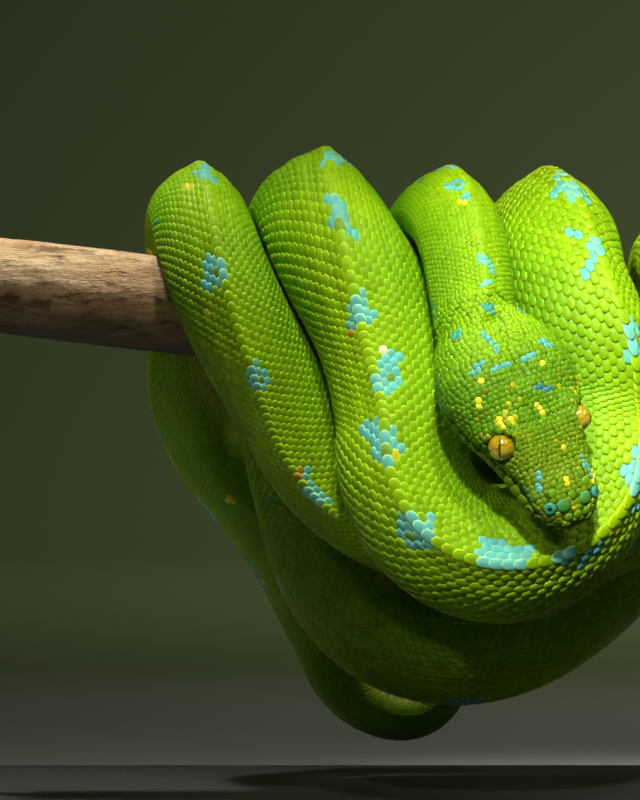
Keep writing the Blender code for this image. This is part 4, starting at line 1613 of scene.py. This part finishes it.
@dataclass(frozen=True)
class EyeFinish:
    """A wet, painted eye."""

    name: str = "python_eye"
    roughness: float = 0.12

    def material(self) -> bpy.types.Material:
        """Make it."""
        recipe = Recipe(self.name, Roughness=self.roughness, Coat_Weight=1.0, Coat_Roughness=0.02,
                        IOR=1.4)
        paint = recipe.attribute("Paint", "Color")
        fleck = recipe.cloud(2600.0, 4.0).ramp(0.3, 0.7)
        recipe.feed(Base_Color=recipe.mixed(0.35 * fleck, paint, tone(96, 62, 10)))
        return recipe.material


@dataclass(frozen=True)
class BarkFinish:
    """Dry tan bark with darker blotches, cracks and pores, and painted shade along its underside."""

    name: str = "dry_bark"

    def material(self) -> bpy.types.Material:
        """Make it."""
        recipe = Recipe(self.name)
        turn = (0.0, -radians(BRANCH_DIP), 0.0)
        long = recipe.stretched((1.0, 2.6, 2.6), turn)
        longer = recipe.stretched((1.0, 6.0, 6.0), turn)
        broad = recipe.cloud(52.0, 5.0, long, 0.62)
        blotch = recipe.cloud(88.0, 6.0, long, 0.72)
        streak = recipe.cloud(170.0, 6.0, longer, 0.7)
        grit = recipe.cloud(900.0, 4.0, None, 0.7)
        pores = recipe.cells(520.0, long)
        colour = recipe.graded(broad, (0.28, tone(150, 108, 68)), (0.45, tone(212, 170, 120)),
                               (0.60, tone(236, 202, 152)), (0.78, tone(248, 224, 182)))
        dark = blotch.ramp(0.55, 0.64)
        colour = recipe.mixed(0.70 * dark, colour, tone(72, 46, 26))
        colour = recipe.mixed(0.45 * streak.ramp(0.50, 0.68), colour, tone(116, 82, 52))
        colour = recipe.mixed(0.35 * grit.ramp(0.52, 0.72), colour, tone(84, 60, 38))
        colour = recipe.mixed(0.45 * (1 - pores.ramp(0.05, 0.16)), colour, tone(60, 42, 28))
        # Painted shade: the bark darkens towards its underside, standing in for the shade under the branch.
        x, _, z = recipe.coordinates()
        high = z + tan(radians(BRANCH_DIP)) * x
        painted_underside_shade = 1 - (high - BRANCH_HEIGHT * MM + 0.004 * blotch).ramp(-0.0085, 0.0005)
        colour = recipe.mixed(0.88 * painted_underside_shade, colour, tone(38, 27, 16))
        recipe.feed(Base_Color=colour, Roughness=0.72 + 0.2 * blotch)
        height = broad * 0.6 + streak * 0.7 + grit * 0.25 + pores.ramp(0.0, 0.3) * 0.2 - dark * 0.35
        recipe.bumped(height, 0.9, 0.0010)
        return recipe.material


@dataclass(frozen=True)
class CutWoodFinish:
    """Sawn end grain: growth rings and rays, darker towards the edge."""

    name: str = "sawn_end"

    def material(self) -> bpy.types.Material:
        """Make it."""
        recipe = Recipe(self.name)
        turned = recipe.stretched((0.0, 1.0, 1.0), (0.0, -radians(BRANCH_DIP), 0.0))
        far = Value(recipe, recipe.attribute("EndGrain", "Fac"))
        wobble = recipe.cloud(120.0, 3.0, turned)
        rings = Value(recipe, recipe.node("ShaderNodeMath", {"operation": "SINE"}, {
            0: (far * 5.6 + wobble * 3.0)}).outputs[0]) * 0.5 + 0.5
        rays = recipe.cloud(900.0, 2.0)
        colour = recipe.mixed(rings.ramp(0.2, 1.0), tone(206, 172, 124), tone(152, 110, 68))
        colour = recipe.mixed(0.5 * rays.ramp(0.45, 0.7), colour, tone(126, 92, 60))
        colour = recipe.mixed(far.ramp(10.6, 11.8), colour, tone(70, 46, 30))
        recipe.feed(Base_Color=colour, Roughness=0.78 + 0.12 * rays)
        recipe.bumped(rings * 0.5 + rays * 0.6, 0.4, 0.0004)
        return recipe.material


@dataclass(frozen=True)
class LacquerFinish:
    """Dark satin lacquer on wood, slightly orange-peeled and dusty."""

    name: str = "dark_lacquer"

    def material(self) -> bpy.types.Material:
        """Make it."""
        recipe = Recipe(self.name, Coat_Weight=0.25, Coat_Roughness=0.3)
        grain = recipe.cloud(70.0, 5.0, recipe.stretched((1.0, 14.0, 14.0)), 0.6)
        dust = recipe.cloud(420.0, 6.0, None, 0.75)
        colour = recipe.mixed(grain.ramp(0.35, 0.7), tone(24, 23, 24), tone(38, 36, 35))
        colour = recipe.mixed(0.10 * dust.ramp(0.5, 0.8), colour, tone(120, 116, 108))
        recipe.feed(Base_Color=colour, Roughness=0.36 + 0.2 * dust)
        recipe.bumped(grain * 0.7 + recipe.cloud(900.0, 2.0) * 0.3, 0.3, 0.00025)
        return recipe.material


@dataclass(frozen=True)
class SteelFinish:
    """Brushed steel with fine marks round the rod."""

    name: str = "brushed_rod"

    def material(self) -> bpy.types.Material:
        """Make it."""
        recipe = Recipe(self.name, Metallic=1.0)
        brushed = recipe.cloud(500.0, 4.0, recipe.stretched((0.6, 0.6, 9.0)), 0.7)
        smear = recipe.cloud(90.0, 4.0)
        recipe.feed(
            Base_Color=recipe.mixed(brushed.ramp(0.3, 0.7), tone(170, 171, 174), tone(206, 206, 208)),
            Roughness=0.2 + 0.16 * brushed + 0.1 * smear)
        recipe.bumped(brushed, 0.3, 0.00008)
        return recipe.material


@dataclass(frozen=True)
class SweepFinish:
    """The studio's plain paper: pale underfoot, deeper where it rises behind."""

    name: str
    pale: tuple[int, int, int] = (204, 206, 192)
    deep: tuple[int, int, int] = (104, 118, 78)

    def material(self) -> bpy.types.Material:
        """Make it."""
        recipe = Recipe(self.name, Roughness=0.95, Specular_IOR_Level=0.1)
        _, y, z = recipe.coordinates()
        share = (y + z).ramp(0.10, 0.80)
        share = share.reckon("SMOOTH_MIN", share * 1.25, 1.0, 0.2)
        recipe.feed(Base_Color=recipe.mixed(share, tone(*self.pale), tone(*self.deep)))
        return recipe.material


# ---------------------------------------------------------------- eyes

@dataclass
class Eye:
    """One lidless eye: a gold iris with dark veins and an upright slit, under a clear scale."""

    hide: Hide
    side: int
    material: bpy.types.Material
    radius: float = EYE_RADIUS
    bulge: float = 0.28
    iris: float = 84.0                   # degrees from its axis to the iris's edge
    slit: float = 0.055                  # half width of the pupil at its middle
    slit_length: float = 0.80

    def axes(self) -> tuple[Array, Array, Array]:
        """The way the eye looks, and the two directions across it, the second along the slit."""
        look = unit(self.hide.left * self.side * 0.62 + self.hide.forward * 0.26 + self.hide.up * 0.72)
        upright = np.array([0.0, 0.0, 1.0])
        upright = unit(upright - (upright @ look) * look)
        return look, np.cross(upright, look), upright

    def colours(self, across: Array, along: Array, depth: Array) -> Array:
        """Paint the ball from where its points lie about the axis."""
        off = np.degrees(np.arccos(np.clip(depth, -1, 1)))
        around = np.arctan2(along, across)
        share = off / self.iris
        gold, pale, brown = tone(190, 164, 18), tone(230, 212, 74), tone(104, 74, 10)
        streak = 0.5 + 0.5 * np.sin(around * 23 + 4 * np.sin(around * 5 + share * 5))
        colour = gold + (pale - gold) * (0.6 * smoothstep((0.25 - along) / 0.7))[:, None]
        colour = colour + (brown - colour) * (0.24 * streak * smoothstep(share * 1.6))[:, None]
        vein = np.exp(-((across - 0.22 * np.sin(along * 7 + self.side)) / 0.035) ** 2)
        vein += np.exp(-((along - 0.12 - 0.35 * across - 0.07 * np.sin(across * 11)) / 0.04) ** 2)
        colour = colour + (brown * 0.8 - colour) * np.clip(0.7 * vein, 0, 0.75)[:, None]
        rim = smoothstep((share - 0.88) / 0.14)[:, None]
        colour = colour * (1 - rim) + tone(44, 46, 6) * rim
        half = self.slit * np.sqrt(np.clip(1 - (along / self.slit_length) ** 2, 0, 1))
        edge = smoothstep((half * 1.9 - np.abs(across)) / 0.05) * (depth > 0)
        colour = colour + (brown * 0.6 - colour) * edge[:, None]
        pupil = smoothstep((half - np.abs(across)) / 0.025) * (depth > 0)
        return colour * (1 - pupil[:, None]) + tone(30, 20, 6) * pupil[:, None]

    def build(self) -> bpy.types.Object:
        """Model and paint the ball, its clear front standing a little proud."""
        name = "eye_left" if self.side > 0 else "eye_right"
        look, across, along = self.axes()
        place = (self.hide.nape + self.hide.forward * EYE_PLACE[0] + self.hide.up * EYE_PLACE[2]
                 + self.hide.left * self.side * EYE_PLACE[1])
        bm = bmesh.new()
        bmesh.ops.create_uvsphere(bm, u_segments=144, v_segments=96, radius=1.0)
        unit_places = np.array([v.co[:] for v in bm.verts])
        swell = 1 + self.bulge / self.radius * smoothstep((unit_places[:, 2] - 0.55) / 0.4)
        axes = np.stack([across, along, look])
        world = place + (unit_places * swell[:, None] * (self.radius - 0.1)) @ axes
        for vert, spot in zip(bm.verts, world * MM):
            vert.co = spot
        bmesh.ops.recalc_face_normals(bm, faces=bm.faces)
        mesh = written(bm, f"{name}_ball")
        paint_points(mesh, np.clip(self.colours(*unit_places.T), 0.001, 1))
        return shown(mesh, f"{name}_ball", Slot.EYE, self.material, stands_for=[name])


# ---------------------------------------------------------------- branch and stand

@dataclass
class Perch:
    """The cut length of branch, with bark in relief and sawn ends."""

    bark: bpy.types.Material
    ends: bpy.types.Material
    length: float = BRANCH_LENGTH
    radius: float = BRANCH_RADIUS
    relief: float = 0.75
    sides: int = 110
    rings: int = 330
    end_rings: int = 5

    def form(self, s: Array, t: Array) -> Array:
        """Places of the bark and of the cut ends for the sheet's two coordinates."""
        ring = s * self.rings
        inward = np.clip(np.minimum(ring, self.rings - ring) / self.end_rings, 0, 1)
        s = np.clip((ring - self.end_rings) / (self.rings - 2 * self.end_rings), 0, 1)
        x = (s - 0.5) * self.length
        turn = -2 * pi * t
        dip = radians(BRANCH_DIP)
        deep = np.empty(len(x))
        for i, (along, angle) in enumerate(zip(x, turn)):
            spot = Vector((along * 0.045, cos(angle) * 1.3, sin(angle) * 1.3))
            broad = noise.noise(spot)
            crack = abs(noise.noise(Vector((along * 0.16, cos(angle) * 5.0, sin(angle) * 5.0)) + spot))
            pit = noise.noise(Vector((along * 0.55, cos(angle) * 9.0, sin(angle) * 9.0)))
            deep[i] = 0.45 * (0.5 - broad) + 0.30 * max(0.0, 0.25 - crack) / 0.25 + 0.22 * max(0.0, pit)
        knot = np.exp(-((x + 104) / 6.5) ** 2) * np.exp(-((np.cos(turn - 4.9) - 1) / 0.10) ** 2)
        slim = 0.35 * (1 + np.sin(x / 17.0) * np.cos(x / 41.0))
        radius = self.radius - slim * 0.8 - self.relief * deep + 0.8 * knot
        end = np.minimum(s, 1 - s) * self.length
        radius = (radius - 0.5 * np.clip(1 - end / 0.8, 0, 1)) * inward
        lift = radius * np.cos(turn)
        return np.stack([x * cos(dip) + lift * sin(dip), radius * np.sin(turn),
                         BRANCH_HEIGHT - x * sin(dip) + lift * cos(dip)], 1)

    def build(self) -> bpy.types.Object:
        """Roll the bark sheet, close it with ringed ends and dress it."""
        bm = grid_template(self.rings, self.sides)
        bend_sheet(bm, self.form)
        bmesh.ops.remove_doubles(bm, verts=bm.verts, dist=1e-7)
        bmesh.ops.recalc_face_normals(bm, faces=bm.faces)
        for face in bm.faces:
            if abs(face.normal.x) > 0.9:
                face.material_index = 1
        mesh = written(bm, "branch_perch")
        mesh.set_sharp_from_angle(angle=radians(48))
        place = places_of(mesh)
        dip = radians(BRANCH_DIP)
        up = place[:, 0] * sin(dip) + (place[:, 2] - BRANCH_HEIGHT) * cos(dip)
        layer = mesh.attributes.new("EndGrain", "FLOAT", "POINT")
        layer.data.foreach_set("value", np.hypot(place[:, 1], up))
        return shown(mesh, "branch_perch", Slot.BARK, self.bark, self.ends, stands_for=["perch"])


@dataclass
class Stand:
    """A flat lacquered base, and two short steel rods with feet and saddles."""

    lacquer: bpy.types.Material
    steel: bpy.types.Material
    nodes: dict
    size: tuple[float, float, float] = (268.0, 166.0, 12.0)
    corner: float = 3.0
    rod_radius: float = 3.5
    rod_x: float = 121.5
    foot_radius: float = 8.5
    foot_height: float = 4.0
    gap: float = 0.3
    saddle_height: float = 9.0

    def base(self) -> None:
        """The base: a board with rounded edges and a fine groove round its top."""
        bm = bmesh.new()
        bmesh.ops.create_cube(bm, size=1.0, matrix=Matrix.Translation((0, 0, self.size[2] / 2 * MM))
                              @ Matrix.Diagonal((*(v * MM for v in self.size), 1.0)))
        bmesh.ops.bevel(bm, geom=list(bm.edges), offset=self.corner * MM, offset_type="OFFSET",
                        affect="EDGES", segments=5, profile=0.5, material=-1)
        top = [f for f in bm.faces if f.normal.z > 0.999]
        bmesh.ops.inset_region(bm, faces=top, thickness=4.0 * MM)
        bmesh.ops.inset_region(bm, faces=top, thickness=0.35 * MM, depth=-0.5 * MM)
        bmesh.ops.inset_region(bm, faces=top, thickness=0.8 * MM)
        bmesh.ops.inset_region(bm, faces=top, thickness=0.35 * MM, depth=0.5 * MM)
        mesh = written(bm, "stand_base_board")
        mesh.set_sharp_from_angle(angle=radians(35))
        shown(mesh, "stand_base_board", Slot.LACQUER, self.lacquer, stands_for=["stand_base"])

    def turned(self, name: str, profile: Sequence[tuple[float, float]], x: float,
               stands_for: str) -> None:
        """A turned steel piece.

        Args:
            name: The piece's name.
            profile: Radius and height of each corner of its outline, from the axis round to it.
            x: Where it stands along the base.
            stands_for: The CAD node that it replaces.
        """
        bm = bmesh.new()
        points = [bm.verts.new(Vector((r * MM, 0, z * MM))) for r, z in profile]
        edges = [bm.edges.new(pair) for pair in zip(points, points[1:])]
        bmesh.ops.spin(bm, geom=points + edges, axis=(0, 0, 1), cent=(0, 0, 0), angle=2 * pi, steps=48,
                       use_merge=True, use_duplicate=False)
        bmesh.ops.remove_doubles(bm, verts=bm.verts, dist=1e-6)
        bmesh.ops.recalc_face_normals(bm, faces=bm.faces)
        bmesh.ops.translate(bm, verts=bm.verts, vec=(x * MM, 0, 0))
        mesh = written(bm, name)
        mesh.set_sharp_from_angle(angle=radians(30))
        shown(mesh, name, Slot.STEEL, self.steel, stands_for=[stands_for])

    def build(self) -> None:
        """Build the base, and both rods with their feet; the saddles keep their solids."""
        self.base()
        for side, x in (("left", -self.rod_x), ("right", self.rod_x)):
            low = self.size[2] + self.gap
            seat = BRANCH_HEIGHT + branch_z(x) - BRANCH_RADIUS - self.saddle_height
            r, h = self.foot_radius, self.foot_height
            self.turned(f"foot_{side}", [
                (0, low), (r - 0.2, low), (r, low + 0.2), (r, low + 0.9), (r - 0.4, low + 1.3),
                (r - 1.2, low + 1.6), (5.6, low + 2.4), (5.0, low + h - 0.4), (4.6, low + h), (0, low + h),
            ], x, f"stand_foot_{side}")
            foot, top, r = low + h + self.gap, seat - self.gap, self.rod_radius
            self.turned(f"rod_{side}", [
                (0, foot), (r - 0.3, foot), (r, foot + 0.3), (r, top - 3.4), (r - 0.2, top - 3.2),
                (r - 0.2, top - 2.8), (r, top - 2.6), (r, top - 0.3), (r - 0.3, top), (0, top),
            ], x, f"stand_rod_{side}")
            saddle = self.nodes[f"stand_saddle_{side}"]
            saddle.data.materials.clear()
            saddle.data.materials.append(self.steel)


# ---------------------------------------------------------------- studio

@dataclass
class Studio:
    """A pale floor that turns up behind, narrow and soft lamps, and the camera."""

    camera_place: tuple[float, float, float] = (-32.6, -1044.0, BRANCH_HEIGHT - 15.5)
    lens: float = 125.0
    sweep_length: float = 9500.0
    sweep_front: float = -3500.0         # where the floor starts, behind the camera
    bend_start: float = 1900.0           # where the floor begins to turn up
    bend_run: float = 1400.0             # the length of paper in the turn

    def sweep(self) -> None:
        """The floor and its backdrop, in one sheet."""
        bm = grid_template(2, 90)

        def place(s: Array, t: Array) -> Array:
            """A floor that turns up behind in a wide curve."""
            far = t * self.sweep_length + self.sweep_front
            past = far - self.bend_start
            bend = np.clip(past / self.bend_run, 0, 1) * pi / 2
            radius = round(2 * self.bend_run / pi)
            y = np.where(past < 0, far, self.bend_start + radius * np.sin(bend))
            z = np.where(past < 0, 0, radius * (1 - np.cos(bend)) + np.clip(past - self.bend_run, 0, None))
            return np.stack([(s - 0.5) * 9000, y, z], 1)

        bend_sheet(bm, place)
        shown(written(bm, "studio_sweep"), "studio_sweep", None,
                       SweepFinish("studio_sweep").material())

    @staticmethod
    def lamp(name: str, place: Sequence[float], size: float, power: float, spread: float = 180.0,
             aim: Sequence[float] = (0.0, 0.0, 0.11)) -> None:
        """A square lamp with a beam of some width.

        Args:
            name: Its name.
            place: Where it hangs, in metres.
            size: Its side.
            power: Its power in watts.
            spread: How wide its beam opens, in degrees.
            aim: The place that it points at.
        """
        data = bpy.data.lights.new(name, "AREA")
        data.shape, data.size, data.energy, data.color = "SQUARE", size, power, (1.0, 0.99, 0.94)
        data.spread = radians(spread)
        item = bpy.data.objects.new(name, data)
        item.location = place
        item.rotation_euler = (Vector(aim) - Vector(place)).to_track_quat("-Z", "Y").to_euler()
        bpy.context.scene.collection.objects.link(item)

    def build(self) -> None:
        """Set up the sweep, the lamps, the surrounding light and the camera."""
        self.sweep()
        self.lamp("key", (0.06, -0.75, 1.32), 0.14, 0.055, 8.8, (0.010, -0.04, 0.134))
        self.lamp("front", (-0.03, -1.05, 1.00), 0.10, 0.060, 6.6, (0.046, -0.05, 0.119))
        self.lamp("top", (-0.36, 0.05, 1.20), 0.18, 0.15, 7.0, (-0.145, 0.0, 0.13))
        self.lamp("rim", (0.75, -0.35, 1.10), 0.30, 0.07, 20.0, (0.03, -0.03, 0.17))
        self.lamp("fill", (-0.75, -0.90, 0.75), 0.80, 0.045)
        self.lamp("cheek", (-0.50, -1.00, 0.78), 0.10, 0.007, 3.8, (0.012, -0.06, 0.126))
        self.lamp("backdrop", (0.90, 1.00, 1.20), 1.00, 7.0, 120.0, (0.60, 1.90, 0.0))
        self.lamp("floor", (0.35, 0.20, 0.80), 0.50, 0.55, 100.0, (0.30, 0.75, 0.0))
        world = bpy.data.worlds.new("studio_air")
        world.use_nodes = True
        background = world.node_tree.nodes["Background"]
        background.inputs["Color"].default_value = (0.82, 0.86, 0.80, 1.0)
        background.inputs["Strength"].default_value = 0.01
        bpy.context.scene.world = world
        data = bpy.data.cameras.new("camera")
        data.sensor_fit, data.sensor_height, data.lens = "VERTICAL", 24.0, self.lens
        data.clip_start, data.clip_end = 0.02, 60.0
        item = bpy.data.objects.new("camera", data)
        item.location = Vector(self.camera_place) * MM
        item.rotation_euler = (pi / 2, 0, 0)
        bpy.context.scene.collection.objects.link(item)
        bpy.context.scene.camera = item
        bpy.context.scene.view_settings.view_transform = "Standard"


def main() -> None:
    """Build every piece over the CAD frame."""
    logging.basicConfig(level=logging.INFO, format="%(message)s")
    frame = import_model()
    hide = Hide(Route())
    markings = Markings(hide)
    Skin(hide, markings, ScaleFinish("skin_between_scales", roughness=0.5, coat=0.0).material()).build()
    Coat(hide, markings, ScaleFinish("painted_scales").material()).build()
    eye = EyeFinish().material()
    for side in (-1, 1):
        Eye(hide, side, eye).build()
    Perch(BarkFinish().material(), CutWoodFinish().material()).build()
    Stand(LacquerFinish().material(), SteelFinish().material(), frame["nodes"]).build()
    Studio().build()


if __name__ == "__main__":
    main()
